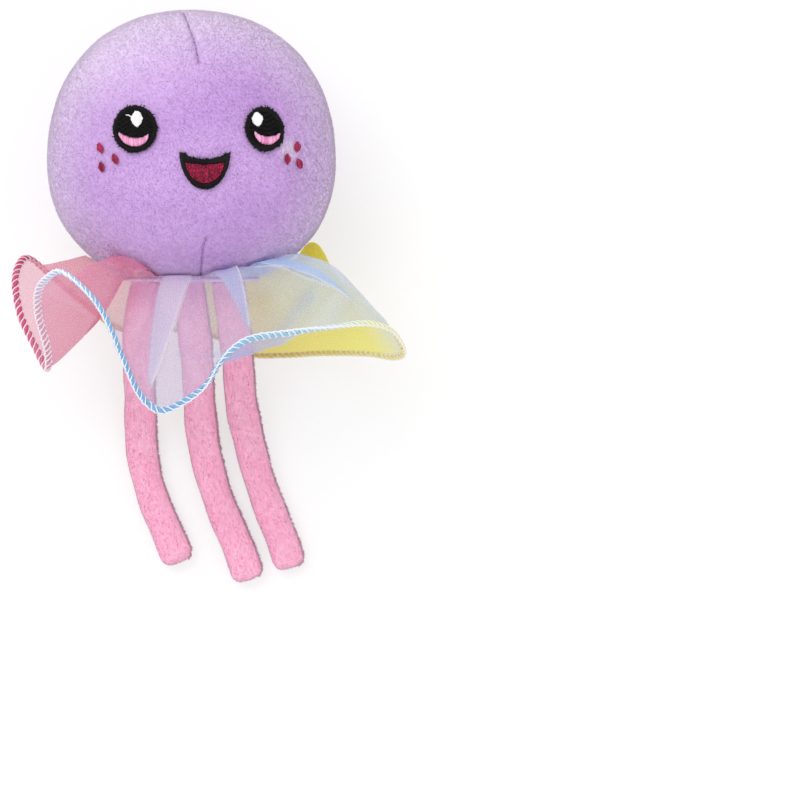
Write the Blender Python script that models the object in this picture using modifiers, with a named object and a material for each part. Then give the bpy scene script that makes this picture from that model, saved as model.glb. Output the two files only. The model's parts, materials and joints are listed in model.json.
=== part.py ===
"""Plush jellyfish toy, lying on its back with its face up.

Metres, +Z up. The crown of the head points along +Y and the three tentacles
point along -Y. The pieces are modelled about the middle of the head, where x is
sideways, y runs to the crown and z runs out through the face. The whole toy is
then set on the floor, with the origin under its middle.
"""
import math

import bmesh
import bpy
from mathutils import Vector

MM = 0.001

# Head, measured from its middle at the widest line
HEAD_HALF_WIDTH = 47.5 * MM
HEAD_CROWN = 49.8 * MM
HEAD_BASE = 41.5 * MM
HEAD_HALF_DEPTH = 44.0 * MM
HEAD_ROUNDNESS = 2.2
REST_DEPTH = 43.2 * MM
SIDE_SEAM_BEHIND = 3.5 * MM
DART_DEPTH = 0.7 * MM
DART_REACH = 16.0 * MM

# Cloth and clearances
COVER_THICKNESS = 1.2 * MM
CLEARANCE = 0.3 * MM
FACET_ALLOWANCE = 0.7 * MM

# Base disc, where the skirt and the tentacles are sewn in
NECK_HALF_WIDTH = 23.0 * MM
BASE_DISC_THICKNESS = 1.2 * MM
BASE_DISC_INSET = 1.3 * MM

# Skirt of stiff see-through cloth, with a stitched edge
SKIRT_THICKNESS = 0.5 * MM
SKIRT_INSET = 0.4 * MM
SKIRT_OFF_HEAD = 1.2 * MM
PLEAT_COUNT = 14
PLEAT_HEIGHT = 1.7 * MM
PLEAT_START = 0.16
PUFF_LEFT = 6.0 * MM
PUFF_FRONT = 5.0 * MM
PUFF_RIGHT = 13.0 * MM
PUFF_BACK = 6.0 * MM
BACK_FOLD_HEIGHT = 12.0 * MM
BACK_FOLD_ANGLE = math.radians(204)
BACK_FOLD_SPREAD = math.radians(9)
HEM_RADIUS = 1.25 * MM

# Tentacles: flat tubes of plush
TENTACLE_WIDTH = 11.6 * MM
TENTACLE_THICKNESS = 7.2 * MM

# Embroidery
STITCH_HEIGHT = 0.5 * MM
TOP_STITCH_HEIGHT = 0.35 * MM

# Mesh density
HEAD_SEGMENTS = 36
HEAD_RINGS = 20
FILLING_SEGMENTS = 24
FILLING_RINGS = 12
SKIRT_ROWS = 6
SKIRT_COLUMNS = 9 * PLEAT_COUNT
ROUTE_STEPS = 12

# Heights of the middle of what lies on the floor, in millimetres from the head's middle
FLOOR_GAP = 0.3 * MM
HEM_LOW = (HEM_RADIUS + FLOOR_GAP - REST_DEPTH) / MM
ARM_LOW = (TENTACLE_THICKNESS / 2 + FLOOR_GAP - REST_DEPTH) / MM

# The hem's route: sideways, down from the neck, and out from the head's axis,
# in millimetres, from the back of the left flute round the front to the right
HEM_POINTS = [
    (-55, -7, -12), (-59, 0, -3), (-57, 12, 2), (-52, 22, 4), (-47.5, 29.5, 8),
    (-47.5, 23, 16), (-50, 12, 26), (-49.5, 4, 35), (-45, -1, 44), (-41, -2, 48),
    (-34, 4, 50), (-28, 12, 49), (-22, 26, 46.5), (-17, 37, 45), (-11, 42, 44),
    (-5, 40.5, 44), (4, 34.5, 45.5), (10, 25, 47.5), (18, 18.5, 47), (32, 16.3, 42),
    (46, 14, 35), (57, 13, 26), (65, 16, 17), (69.5, 23, 7), (67, 26, -1),
    (58, 25.3, -11), (44, 25.5, -25), (28, 26.5, -37), (14, 27, HEM_LOW), (0, 24, HEM_LOW),
    (-14, 27, HEM_LOW), (-25, 21, HEM_LOW + 0.2), (-36, 10, -35), (-47, 0, -22),
]

# Each tentacle's route from its root: sideways, down from the root, and out
TENTACLE_ROUTES = {
    "tentacle_left": [
        (-14.5, 0, -3), (-17, 12, -5), (-17.6, 26, -15), (-17.4, 40, -27), (-17.2, 52, -36),
        (-16.2, 62, ARM_LOW), (-13, 74, ARM_LOW), (-8.8, 84, ARM_LOW), (-4.2, 95, ARM_LOW),
    ],
    "tentacle_middle": [
        (-1.5, 0, -3), (0.2, 12, -5), (1.6, 26, -15), (2.4, 40, -27), (3.6, 53, -36),
        (6.4, 66, ARM_LOW), (10.4, 78, ARM_LOW), (15.6, 90, ARM_LOW), (19.4, 101, ARM_LOW),
    ],
    "tentacle_right": [
        (11.8, 0, -3), (13.5, 12, -5), (15.2, 26, -15), (16.4, 40, -27), (18.8, 52, -36),
        (22.4, 66, ARM_LOW), (26.6, 78, ARM_LOW), (30.6, 88, ARM_LOW), (33.4, 97, ARM_LOW),
    ],
}

# Eyes and freckles: middle x, y, width, height in millimetres and lean in degrees
EYE_PATCHES = {"left": (-18.1, 9.3, 14.4, 15.4, 0), "right": (23.1, 9.4, 12.6, 14.5, 15)}
EYE_HIGHLIGHTS = {"left": (-17.2, 12.4, 3.7, 5.0, 0), "right": (20.6, 12.4, 3.5, 4.5, 10)}
FRECKLES = {
    "freckle_left_upper": (-29.1, 3.3, 2.3, 3.5, 20),
    "freckle_left_inner": (-24.3, -0.3, 2.3, 3.5, -10),
    "freckle_left_lower": (-28.7, -2.7, 2.4, 3.3, 25),
    "freckle_right_upper": (33.8, 3.9, 2.2, 3.5, -15),
    "freckle_right_inner": (30.6, -0.1, 2.3, 3.5, 10),
    "freckle_right_lower": (34.5, -1.5, 2.2, 3.3, -20),
}

# Lens shapes: middle x, corner height, half width, dip of the upper edge and
# depth of the lower edge, in millimetres
EYE_CRESCENTS = {"left": (-18.3, 7.8, 4.8, 0.9, 4.0), "right": (23.7, 8.2, 4.1, 0.8, 3.8)}
MOUTH_OUTSIDE = (4.2, 1.7, 7.9, 2.2, 11.6)
MOUTH_INSIDE = (4.2, -1.4, 6.1, 0.7, 6.6)

# Linear colours, roughness
LOOKS = {
    "lavender_plush": ((0.61, 0.40, 0.78), 0.95),
    "pink_plush": ((0.95, 0.41, 0.60), 0.95),
    "pastel_organza": ((0.66, 0.60, 0.62), 0.45),
    "hem_thread": ((0.80, 0.74, 0.80), 0.55),
    "black_thread": ((0.012, 0.010, 0.012), 0.40),
    "white_thread": ((0.90, 0.90, 0.90), 0.40),
    "rose_thread": ((0.86, 0.28, 0.44), 0.40),
    "magenta_thread": ((0.42, 0.02, 0.09), 0.40),
    "white_fibre": ((0.85, 0.85, 0.85), 0.90),
}


def clear_scene():
    for old in list(bpy.data.objects):
        bpy.data.objects.remove(old, do_unlink=True)


def make_materials():
    materials = {}
    for name, (colour, roughness) in LOOKS.items():
        material = bpy.data.materials.new(name)
        material.use_nodes = True
        shader = material.node_tree.nodes["Principled BSDF"]
        shader.inputs["Base Color"].default_value = (*colour, 1.0)
        shader.inputs["Roughness"].default_value = roughness
        shader.inputs["Metallic"].default_value = 0.0
        materials[name] = material
    return materials


def add_object(bm, name, material):
    """Turn a bmesh into a smooth-shaded object of the toy."""
    mesh = bpy.data.meshes.new(name)
    bm.to_mesh(mesh)
    bm.free()
    mesh.shade_smooth()
    obj = bpy.data.objects.new(name, mesh)
    obj.data.materials.append(material)
    bpy.data.collections["plush_jellyfish"].objects.link(obj)
    return obj


def add_thickness(obj, thickness, side):
    """Give an open surface a wall: side 1 grows outwards, -1 inwards, 0 both ways."""
    solidify = obj.modifiers.new("wall", "SOLIDIFY")
    solidify.thickness = thickness
    solidify.offset = side
    solidify.use_even_offset = True
    return solidify


def smoothstep(value):
    value = min(max(value, 0.0), 1.0)
    return value * value * (3 - 2 * value)


# Head

def base_drop():
    """How far below the head's middle the covers stop at the base disc."""
    share = (NECK_HALF_WIDTH / HEAD_HALF_WIDTH) ** HEAD_ROUNDNESS
    return HEAD_BASE * (1 - share) ** (1 / HEAD_ROUNDNESS)


def neck_half_depth():
    share = (base_drop() / HEAD_BASE) ** HEAD_ROUNDNESS
    return HEAD_HALF_DEPTH * (1 - share) ** (1 / HEAD_ROUNDNESS)


def sewing_line():
    """Height of the plane where the tentacles meet the base disc."""
    return -base_drop() - BASE_DISC_THICKNESS - 2 * CLEARANCE


def skirt_line():
    """Height of the middle of the skirt's sewn edge, just under the head's covers."""
    return -base_drop() - CLEARANCE - SKIRT_THICKNESS / 2


def head_point(direction, inset):
    """Where a ray from the head's middle leaves the head, moved in by an inset."""
    up = HEAD_CROWN if direction.y > 0 else HEAD_BASE
    terms = (
        abs(direction.x) / (HEAD_HALF_WIDTH - inset),
        abs(direction.y) / (up - inset),
        abs(direction.z) / (HEAD_HALF_DEPTH - inset),
    )
    total = sum(term ** HEAD_ROUNDNESS for term in terms)
    point = direction * total ** (-1 / HEAD_ROUNDNESS)
    point.z = max(point.z, inset - REST_DEPTH)
    return point


def dart_pull(point):
    """How far the short darts at the crown and the base pull the cover in."""
    if abs(point.x) > DART_DEPTH or point.z < 0:
        return 0.0
    edge = HEAD_CROWN if point.y > 0 else base_drop()
    return DART_DEPTH * smoothstep(1 - (edge - abs(point.y)) / DART_REACH)


def head_surface(segments, rings, inset):
    """A closed ball shaped as the head, with its poles at the face and the back."""
    bm = bmesh.new()
    bmesh.ops.create_uvsphere(bm, u_segments=segments, v_segments=rings, radius=1.0)
    for vert in bm.verts:
        direction = vert.co.normalized()
        point = head_point(direction, inset)
        vert.co = point - direction * dart_pull(point) if inset == 0 else point
    return bm


def cut_away(bm, plane_point, plane_normal):
    """Remove what lies on the side that the normal points to."""
    everything = bm.verts[:] + bm.edges[:] + bm.faces[:]
    bmesh.ops.bisect_plane(
        bm, geom=everything, plane_co=plane_point, plane_no=plane_normal,
        dist=1e-7, clear_outer=True,
    )


def build_head_panel(name, material, front):
    bm = head_surface(HEAD_SEGMENTS, HEAD_RINGS, 0)
    side = -1 if front else 1
    seam = -SIDE_SEAM_BEHIND if front else -SIDE_SEAM_BEHIND - CLEARANCE
    cut_away(bm, Vector((0, 0, seam)), Vector((0, 0, side)))
    cut_away(bm, Vector((0, -base_drop(), 0)), Vector((0, -1, 0)))
    panel = add_object(bm, name, material)
    add_thickness(panel, COVER_THICKNESS, -1)
    return panel


def build_base_disc(material):
    bm = bmesh.new()
    bmesh.ops.create_cone(
        bm, cap_ends=True, segments=HEAD_SEGMENTS, radius1=1.0, radius2=1.0,
        depth=BASE_DISC_THICKNESS,
    )
    middle = -base_drop() - CLEARANCE - BASE_DISC_THICKNESS / 2
    for vert in bm.verts:
        x, y, z = vert.co
        vert.co = (
            x * (NECK_HALF_WIDTH - BASE_DISC_INSET), middle - z,
            y * (neck_half_depth() - BASE_DISC_INSET),
        )
    return add_object(bm, "head_base_disc", material)


def build_filling(material):
    inset = COVER_THICKNESS + CLEARANCE + FACET_ALLOWANCE
    bm = head_surface(FILLING_SEGMENTS, FILLING_RINGS, inset)
    cut_away(bm, Vector((0, -base_drop(), 0)), Vector((0, -1, 0)))
    bmesh.ops.holes_fill(bm, edges=bm.edges[:])
    return add_object(bm, "head_stuffing", material)


# Smooth routes

def smooth_route(points, closed):
    """A Catmull-Rom curve through the points, as closely spaced samples."""
    count = len(points)
    samples = []
    for index in range(count if closed else count - 1):
        if closed:
            p0, p1, p2, p3 = (points[(index + k) % count] for k in (-1, 0, 1, 2))
        else:
            p1, p2 = points[index], points[index + 1]
            p0 = points[index - 1] if index > 0 else p1 * 2 - p2
            p3 = points[index + 2] if index + 2 < count else p2 * 2 - p1
        for step in range(ROUTE_STEPS):
            t = step / ROUTE_STEPS
            samples.append(
                p1 + (p2 - p0) * (t / 2)
                + (p0 * 2 - p1 * 5 + p2 * 4 - p3) * (t * t / 2)
                + (p1 * 3 - p0 - p2 * 3 + p3) * (t * t * t / 2)
            )
    if not closed:
        samples.append(points[-1].copy())
    return samples


def even_points(samples, count, closed):
    """Read a route again at equal steps of its length."""
    path = samples + [samples[0]] if closed else samples
    lengths = [0.0]
    for start, end in zip(path, path[1:]):
        lengths.append(lengths[-1] + (end - start).length)
    spans = count if closed else count - 1
    result = []
    index = 0
    for number in range(count):
        target = lengths[-1] * number / spans
        while index < len(path) - 2 and lengths[index + 1] < target:
            index += 1
        share = (target - lengths[index]) / (lengths[index + 1] - lengths[index])
        result.append(path[index].lerp(path[index + 1], share))
    return result


# Skirt

def hem_route():
    top = skirt_line()
    points = [Vector((x * MM, top - drop * MM, out * MM)) for x, drop, out in HEM_POINTS]
    return even_points(smooth_route(points, True), SKIRT_COLUMNS, True)


def puff(angle, down):
    """How far the skirt puffs up towards the head, by the angle from the left."""
    rise = math.sin(math.pi * down)
    across = math.cos(angle)
    ahead = math.sin(angle)
    side = PUFF_LEFT * across ** 2 if across > 0 else PUFF_RIGHT * across ** 2
    middle = PUFF_FRONT * ahead ** 2 if ahead > 0 else PUFF_BACK * ahead ** 2
    turn = (angle - BACK_FOLD_ANGLE + math.pi) % (2 * math.pi) - math.pi
    fold = BACK_FOLD_HEIGHT * math.exp(-((turn / BACK_FOLD_SPREAD) ** 2))
    return (side + middle) * rise ** 1.4 + fold * rise ** 3


def smooth_skirt_point(hem, down):
    """The skirt without its pleats: down is 0 at the neck and 1 at the hem."""
    angle = math.atan2(hem.z, -hem.x)
    neck = Vector((
        -(NECK_HALF_WIDTH - SKIRT_INSET) * math.cos(angle),
        skirt_line(),
        (neck_half_depth() - SKIRT_INSET) * math.sin(angle),
    ))
    point = neck.lerp(hem, down)
    point.y += puff(angle, down)
    return point


def keep_off_head(point):
    """Lay the cloth against the underside of the head where it would pass inside."""
    share = (abs(point.x) / HEAD_HALF_WIDTH) ** HEAD_ROUNDNESS
    share += (abs(point.z) / HEAD_HALF_DEPTH) ** HEAD_ROUNDNESS
    if share < 1:
        underside = -HEAD_BASE * (1 - share) ** (1 / HEAD_ROUNDNESS)
        point.y = min(point.y, underside - SKIRT_OFF_HEAD)
    return point


def skirt_end(route, column):
    """The share of the way to the hem where the cloth meets the stitched edge."""
    step = 0.01
    hem = route[column]
    inner = smooth_skirt_point(hem, 1 - step)
    slope = (hem - inner) / step
    along = (route[(column + 1) % len(route)] - route[column - 1]).normalized()
    square = slope.cross(along).length
    return 1 - (HEM_RADIUS + CLEARANCE) / square


def build_skirt(material):
    route = hem_route()
    columns = len(route)
    bm = bmesh.new()
    bmesh.ops.create_grid(bm, x_segments=columns, y_segments=SKIRT_ROWS, size=0.5)
    places = {}
    for vert in bm.verts:
        column = round((vert.co.x + 0.5) * columns)
        share = vert.co.y + 0.5
        end = skirt_end(route, column % columns)
        down = (1 - share) * end
        hem = route[column % columns]
        point = smooth_skirt_point(hem, down)
        beside = smooth_skirt_point(route[(column + 1) % columns], down)
        below = smooth_skirt_point(hem, down + 0.01)
        normal = (below - point).cross(beside - point).normalized()
        wave = math.cos(2 * math.pi * PLEAT_COUNT * column / columns)
        height = PLEAT_HEIGHT * wave * (1 - down) ** 1.5 * smoothstep(down / PLEAT_START)
        places[vert] = keep_off_head(point + normal * height)
    for vert, place in places.items():
        vert.co = place
    bmesh.ops.remove_doubles(bm, verts=bm.verts[:], dist=1e-6)
    bmesh.ops.recalc_face_normals(bm, faces=bm.faces[:])
    skirt = add_object(bm, "skirt", material)
    add_thickness(skirt, SKIRT_THICKNESS, 0)
    return skirt


def build_hem(material):
    curve = bpy.data.curves.new("skirt_hem_stitching", "CURVE")
    curve.dimensions = "3D"
    curve.bevel_depth = HEM_RADIUS
    curve.bevel_resolution = 1
    route = hem_route()
    spline = curve.splines.new("POLY")
    spline.points.add(len(route) - 1)
    for point, place in zip(spline.points, route):
        point.co = (*place, 1.0)
    spline.use_cyclic_u = True
    curve.materials.append(material)
    hem = bpy.data.objects.new("skirt_hem_stitching", curve)
    bpy.data.collections["plush_jellyfish"].objects.link(hem)
    return hem


# Tentacles

def build_tentacle(name, route_points, material):
    """A box cage along the route, rounded by subdivision but flat at its root."""
    top = sewing_line()
    points = [Vector((x * MM, top - drop * MM, out * MM)) for x, drop, out in route_points]
    spans = len(points) + 3
    route = even_points(smooth_route(points, False), spans + 1, False)
    bm = bmesh.new()
    bmesh.ops.create_cube(bm, size=1.0)
    for cut in range(1, spans):
        place = Vector((0, cut / spans - 0.5, 0))
        bmesh.ops.bisect_plane(
            bm, geom=bm.verts[:] + bm.edges[:] + bm.faces[:],
            plane_co=place, plane_no=Vector((0, 1, 0)), dist=1e-6,
        )
    bmesh.ops.bisect_plane(
        bm, geom=bm.verts[:] + bm.edges[:] + bm.faces[:],
        plane_co=Vector((0, 0, 0)), plane_no=Vector((1, 0, 0)), dist=1e-6,
    )
    crease = bm.edges.layers.float.new("crease_edge")
    for edge in bm.edges:
        if all(vert.co.y > 0.499 for vert in edge.verts):
            edge[crease] = 1.0
    for vert in bm.verts:
        index = round((0.5 - vert.co.y) * spans)
        ahead = route[min(index + 1, spans)] - route[max(index - 1, 0)]
        if index == 0:
            ahead = Vector((0, -1, 0))
        out = Vector((1, 0, 0)).cross(ahead).normalized() * -1
        side = out.cross(ahead).normalized()
        offset = side * (vert.co.x * TENTACLE_WIDTH) + out * (vert.co.z * TENTACLE_THICKNESS)
        vert.co = route[index] + offset
    tentacle = add_object(bm, name, material)
    rounding = tentacle.modifiers.new("rounding", "SUBSURF")
    rounding.levels = 1
    rounding.render_levels = 1
    return tentacle


# Embroidery

def on_face(x, y, lift):
    """A point over the front of the head, lifted off it along its normal."""
    up = HEAD_CROWN if y > 0 else HEAD_BASE
    power = HEAD_ROUNDNESS
    left = 1 - abs(x / HEAD_HALF_WIDTH) ** power - abs(y / up) ** power
    z = HEAD_HALF_DEPTH * left ** (1 / power)
    slope = Vector((
        math.copysign(abs(x / HEAD_HALF_WIDTH) ** (power - 1), x) / HEAD_HALF_WIDTH,
        math.copysign(abs(y / up) ** (power - 1), y) / up,
        (z / HEAD_HALF_DEPTH) ** (power - 1) / HEAD_HALF_DEPTH,
    ))
    return Vector((x, y, z)) + slope.normalized() * (CLEARANCE + lift)


def stitch_patch(name, material, cells, outline, lift, height):
    """Wrap a grid onto the face: outline turns 0..1 grid places into x and y."""
    bm = bmesh.new()
    bmesh.ops.create_grid(bm, x_segments=cells[0], y_segments=cells[1], size=0.5)
    for vert in bm.verts:
        x, y = outline(vert.co.x + 0.5, vert.co.y + 0.5)
        vert.co = on_face(x * MM, y * MM, lift)
    bmesh.ops.remove_doubles(bm, verts=bm.verts[:], dist=1e-6)
    patch = add_object(bm, name, material)
    add_thickness(patch, height, 1).use_even_offset = False
    return patch


def ellipse_outline(middle_x, middle_y, width, height, lean):
    """A square of grid places pressed into an ellipse that leans to the right."""
    turn = math.radians(lean)

    def place(across, up):
        u = 2 * across - 1
        v = 2 * up - 1
        x = width / 2 * u * math.sqrt(1 - v * v / 2)
        y = height / 2 * v * math.sqrt(1 - u * u / 2)
        return (
            middle_x + x * math.cos(turn) - y * math.sin(turn),
            middle_y + x * math.sin(turn) + y * math.cos(turn),
        )
    return place


def lens_outline(middle_x, corner_y, half_width, dip, depth):
    """The space between a lens's lower and upper edges, which meet at its corners."""
    def place(across, up):
        turn = math.pi * across
        drop = depth * math.sin(turn) * (1 - up) + dip * math.sin(turn) ** 2 * up
        return middle_x - half_width * math.cos(turn), corner_y - drop
    return place


def ring_outline(outside, inside):
    """The band between two lens shapes, once round against the clock."""
    def edge(shape, turn):
        middle_x, corner_y, half_width, dip, depth = shape
        drop = dip * math.sin(turn) ** 2 if turn < math.pi else -depth * math.sin(turn)
        return middle_x + half_width * math.cos(turn), corner_y - drop

    def place(around, inwards):
        turn = 2 * math.pi * around
        outer = edge(outside, turn)
        inner = edge(inside, turn)
        return tuple(a + (b - a) * inwards for a, b in zip(outer, inner))
    return place


def build_face(materials):
    stacked = STITCH_HEIGHT + CLEARANCE
    pieces = []
    for side, shape in EYE_PATCHES.items():
        pieces.append(stitch_patch(
            f"eye_{side}_patch", materials["black_thread"], (6, 6),
            ellipse_outline(*shape), 0, STITCH_HEIGHT,
        ))
        pieces.append(stitch_patch(
            f"eye_{side}_highlight", materials["white_thread"], (4, 4),
            ellipse_outline(*EYE_HIGHLIGHTS[side]), stacked, TOP_STITCH_HEIGHT,
        ))
        pieces.append(stitch_patch(
            f"eye_{side}_crescent", materials["rose_thread"], (10, 2),
            lens_outline(*EYE_CRESCENTS[side]), stacked, TOP_STITCH_HEIGHT,
        ))
    pieces.append(stitch_patch(
        "mouth_outline", materials["black_thread"], (26, 2),
        ring_outline(MOUTH_OUTSIDE, MOUTH_INSIDE), 0, STITCH_HEIGHT,
    ))
    gap = CLEARANCE / MM
    middle_x, corner_y, half_width, dip, depth = MOUTH_INSIDE
    fill = (middle_x, corner_y - gap / 2, half_width - 1.5 * gap, dip + gap, depth - gap)
    pieces.append(stitch_patch(
        "mouth_filling", materials["magenta_thread"], (10, 4),
        lens_outline(*fill), 0, STITCH_HEIGHT,
    ))
    for name, shape in FRECKLES.items():
        pieces.append(stitch_patch(
            name, materials["magenta_thread"], (3, 3), ellipse_outline(*shape), 0,
            STITCH_HEIGHT,
        ))
    return pieces


def set_on_floor(pieces):
    """Hang every piece from one empty and set the toy's lowest middle at the origin."""
    bpy.context.view_layer.update()
    graph = bpy.context.evaluated_depsgraph_get()
    corners = []
    for piece in pieces:
        shape = piece.evaluated_get(graph)
        mesh = shape.to_mesh()
        corners.extend(vert.co.copy() for vert in mesh.vertices)
        shape.to_mesh_clear()
    low = [min(corner[axis] for corner in corners) for axis in range(3)]
    high = [max(corner[axis] for corner in corners) for axis in range(3)]
    toy = bpy.data.objects.new("toy", None)
    bpy.data.collections["plush_jellyfish"].objects.link(toy)
    toy.location = (-(low[0] + high[0]) / 2, -(low[1] + high[1]) / 2, -low[2])
    for piece in pieces:
        piece.parent = toy


def main():
    clear_scene()
    collection = bpy.data.collections.new("plush_jellyfish")
    bpy.context.scene.collection.children.link(collection)
    materials = make_materials()
    pieces = [
        build_head_panel("head_front_panel", materials["lavender_plush"], True),
        build_head_panel("head_back_panel", materials["lavender_plush"], False),
        build_base_disc(materials["lavender_plush"]),
        build_filling(materials["white_fibre"]),
        build_skirt(materials["pastel_organza"]),
        build_hem(materials["hem_thread"]),
    ]
    for name, points in TENTACLE_ROUTES.items():
        pieces.append(build_tentacle(name, points, materials["pink_plush"]))
    pieces.extend(build_face(materials))
    set_on_floor(pieces)


main()
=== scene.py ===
import json
import math

import bmesh
import bpy
import numpy as np
from mathutils import Matrix, Vector, noise


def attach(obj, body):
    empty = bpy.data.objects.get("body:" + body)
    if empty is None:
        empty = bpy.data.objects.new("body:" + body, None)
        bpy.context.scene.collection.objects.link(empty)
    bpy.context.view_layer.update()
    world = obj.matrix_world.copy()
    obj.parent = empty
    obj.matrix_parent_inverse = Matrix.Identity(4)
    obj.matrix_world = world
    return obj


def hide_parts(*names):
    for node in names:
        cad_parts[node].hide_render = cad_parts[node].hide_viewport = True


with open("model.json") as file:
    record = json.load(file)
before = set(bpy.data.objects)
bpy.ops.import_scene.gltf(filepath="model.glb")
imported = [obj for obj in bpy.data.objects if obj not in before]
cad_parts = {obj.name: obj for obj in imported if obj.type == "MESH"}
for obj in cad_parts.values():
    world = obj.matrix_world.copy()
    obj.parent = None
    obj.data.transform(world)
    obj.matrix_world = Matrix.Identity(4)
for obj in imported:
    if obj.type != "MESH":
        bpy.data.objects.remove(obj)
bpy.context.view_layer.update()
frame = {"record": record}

MM = 0.001
SAME_PLACE = 1e-5

# Sizes shared with the solids, measured from the middle of the head
HEAD_SIZE = np.array([47.5, 49.8, 44.0]) * MM
HEAD_BASE = 41.5 * MM
HEAD_ROUNDNESS = 2.2
REST_DEPTH = 43.2 * MM
SIDE_SEAM_BEHIND = 3.5 * MM
COVER_THICKNESS = 1.2 * MM
CLEARANCE = 0.3 * MM
NECK_HALF_WIDTH = 23.0 * MM
BASE_DISC_THICKNESS = 1.2 * MM
BASE_DISC_INSET = 0.7 * MM
SKIRT_THICKNESS = 0.5 * MM
SKIRT_INSET = 0.4 * MM
HEM_RADIUS = 1.25 * MM
TENTACLE_WIDTH = 11.6 * MM
TENTACLE_THICKNESS = 7.2 * MM
FLOOR_GAP = 0.3 * MM
HEM_LOW = (HEM_RADIUS + FLOOR_GAP - REST_DEPTH) / MM
ARM_LOW = (TENTACLE_THICKNESS / 2 + FLOOR_GAP - REST_DEPTH) / MM

# The rest face's middle lies straight below the middle of the head
REST_FACE = next(m for m in frame["record"]["mounts"] if m["name"] == "back_rest")
HEAD_MIDDLE = np.array(REST_FACE["pos_m"]) + np.array([0, 0, REST_DEPTH])

# The hem's route: sideways, down from the neck, and out, in millimetres
HEM_POINTS = [
    (-54.5, -6.5, -12), (-58, 0, -3), (-56.3, 12, 2), (-51.7, 22, 4), (-47.3, 30, 8),
    (-47, 23, 16), (-49.5, 12, 26), (-49, 4, 35), (-45, -0.5, 44), (-41, -1.5, 48),
    (-34, 4, 50), (-28, 12, 49), (-22, 26, 46.5), (-17, 37, 45), (-11, 42.5, 44),
    (-5, 41.2, 44), (4, 35, 45.5), (10, 26, 47.5), (18, 20, 47), (32, 17.8, 42), (46, 16, 35),
    (57, 15, 26), (65, 17.5, 17), (69.4, 24, 7), (66.8, 26.5, -1), (58, 25.5, -11),
    (44, 25.5, -25), (31, 26.3, -36), (20, 26.0, -40.5), (9, 20.5, HEM_LOW), (0, 18, HEM_LOW),
    (-14, 17.5, HEM_LOW), (-25, 17, HEM_LOW + 0.2), (-36, 9, -35), (-46.5, 0, -22),
]

# Share of the hem, then the cloth's lift at three places on its way down, in millimetres
SKIRT_LIFTS = [
    (0.00, 4.5, 1.5, -1.5), (0.04, 1.0, -1.0, -1.5), (0.08, -3.0, -3.0, -2.0),
    (0.11, -5.0, -4.0, -2.0), (0.14, -4.5, -3.5, -1.5), (0.17, -1.0, -1.0, -1.5),
    (0.20, 3.0, 1.5, -2.0), (0.24, 4.5, 3.0, -1.5), (0.28, 4.5, 4.0, 0.0),
    (0.34, 4.0, 3.0, 0.0), (0.39, 4.0, 3.0, -1.0), (0.42, 4.5, 1.0, -5.0),
    (0.45, 6.0, 1.0, -8.5), (0.48, 8.0, 3.0, -7.0), (0.52, 10.0, 8.0, -1.5),
    (0.56, 11.5, 11.5, 3.0), (0.60, 12.0, 12.0, 5.0), (0.65, 12.0, 12.0, 5.0),
    (0.70, 10.0, 10.0, 4.0), (0.76, 7.0, 6.0, 2.0), (0.84, 5.0, 4.0, 1.0),
    (0.92, 5.0, 3.5, 0.0), (0.96, 5.5, 3.0, -1.0),
]
LIFT_PLACES = (0.3, 0.6, 0.85)
# The pinched fold that stands up behind the head: share, spread, height, place down, reach
BACK_FOLD = (0.70, 0.036, 22.0, 0.74, 0.18)

# Each tentacle's route from its root: sideways, down from the root, and out
TENTACLE_ROUTES = {
    "tentacle_left": [
        (-14.5, 0, -3), (-17, 12, -5), (-17.6, 26, -15), (-17.4, 40, -27), (-17.2, 52, -36),
        (-16.2, 62, ARM_LOW), (-13, 74, ARM_LOW), (-8.8, 84, ARM_LOW), (-4.2, 95, ARM_LOW),
    ],
    "tentacle_middle": [
        (-1.5, 0, -3), (0.2, 12, -5), (1.6, 26, -15), (2.4, 40, -27), (3.6, 53, -36),
        (6.4, 66, ARM_LOW), (10.4, 78, ARM_LOW), (15.6, 90, ARM_LOW), (19.4, 101, ARM_LOW),
    ],
    "tentacle_right": [
        (11.8, 0, -3), (13.5, 12, -5), (15.2, 26, -15), (16.4, 40, -27), (18.8, 52, -36),
        (22.4, 66, ARM_LOW), (26.6, 78, ARM_LOW), (30.6, 88, ARM_LOW), (33.4, 97, ARM_LOW),
    ],
}

# Embroidered shapes: middle x, y, width, height in millimetres, lean in degrees
EYE_PATCHES = {"left": (-17.9, 9.2, 13.9, 14.9, 0), "right": (23.1, 9.3, 12.2, 14.1, 15)}
EYE_HIGHLIGHTS = {"left": (-17.2, 12.4, 3.6, 4.9, 0), "right": (20.6, 12.4, 3.4, 4.4, 10)}
FRECKLES = {
    "freckle_left_upper": (-29.1, 3.3, 1.9, 3.5, 20),
    "freckle_left_inner": (-24.3, -0.3, 2.0, 3.6, 20),
    "freckle_left_lower": (-28.7, -2.7, 1.9, 3.3, 15),
    "freckle_right_upper": (33.8, 3.9, 1.9, 3.5, -7),
    "freckle_right_inner": (30.6, -0.1, 1.9, 3.5, 0),
    "freckle_right_lower": (34.5, -1.5, 1.9, 3.3, 15),
}
# Lens shapes: middle x, corner height, half width, dip of the top, depth of the bottom
EYE_CRESCENTS = {"left": (-18.2, 7.7, 4.6, 1.6, 3.9), "right": (23.7, 8.1, 3.9, 1.4, 3.6)}
CRESCENT_LEANS = {"left": -5.4, "right": -3.0}
# A stray white thread over the left eye: its places sideways and upwards
LOOSE_THREAD = (np.linspace(-20.8, -18.4, 6), np.array([13.7, 13.5, 13.6, 13.2, 13.1, 12.7]))
MOUTH_OUTSIDE = (4.2, 1.7, 7.9, 2.2, 11.6)
MOUTH_INSIDE = (4.2, -1.4, 6.1, 0.7, 6.6)
# The blunt corners of the mouth: reach from its middle, then y, width, height and lean
MOUTH_CORNER = (6.8, 0.8, 2.0, 2.2, 0)

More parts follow.
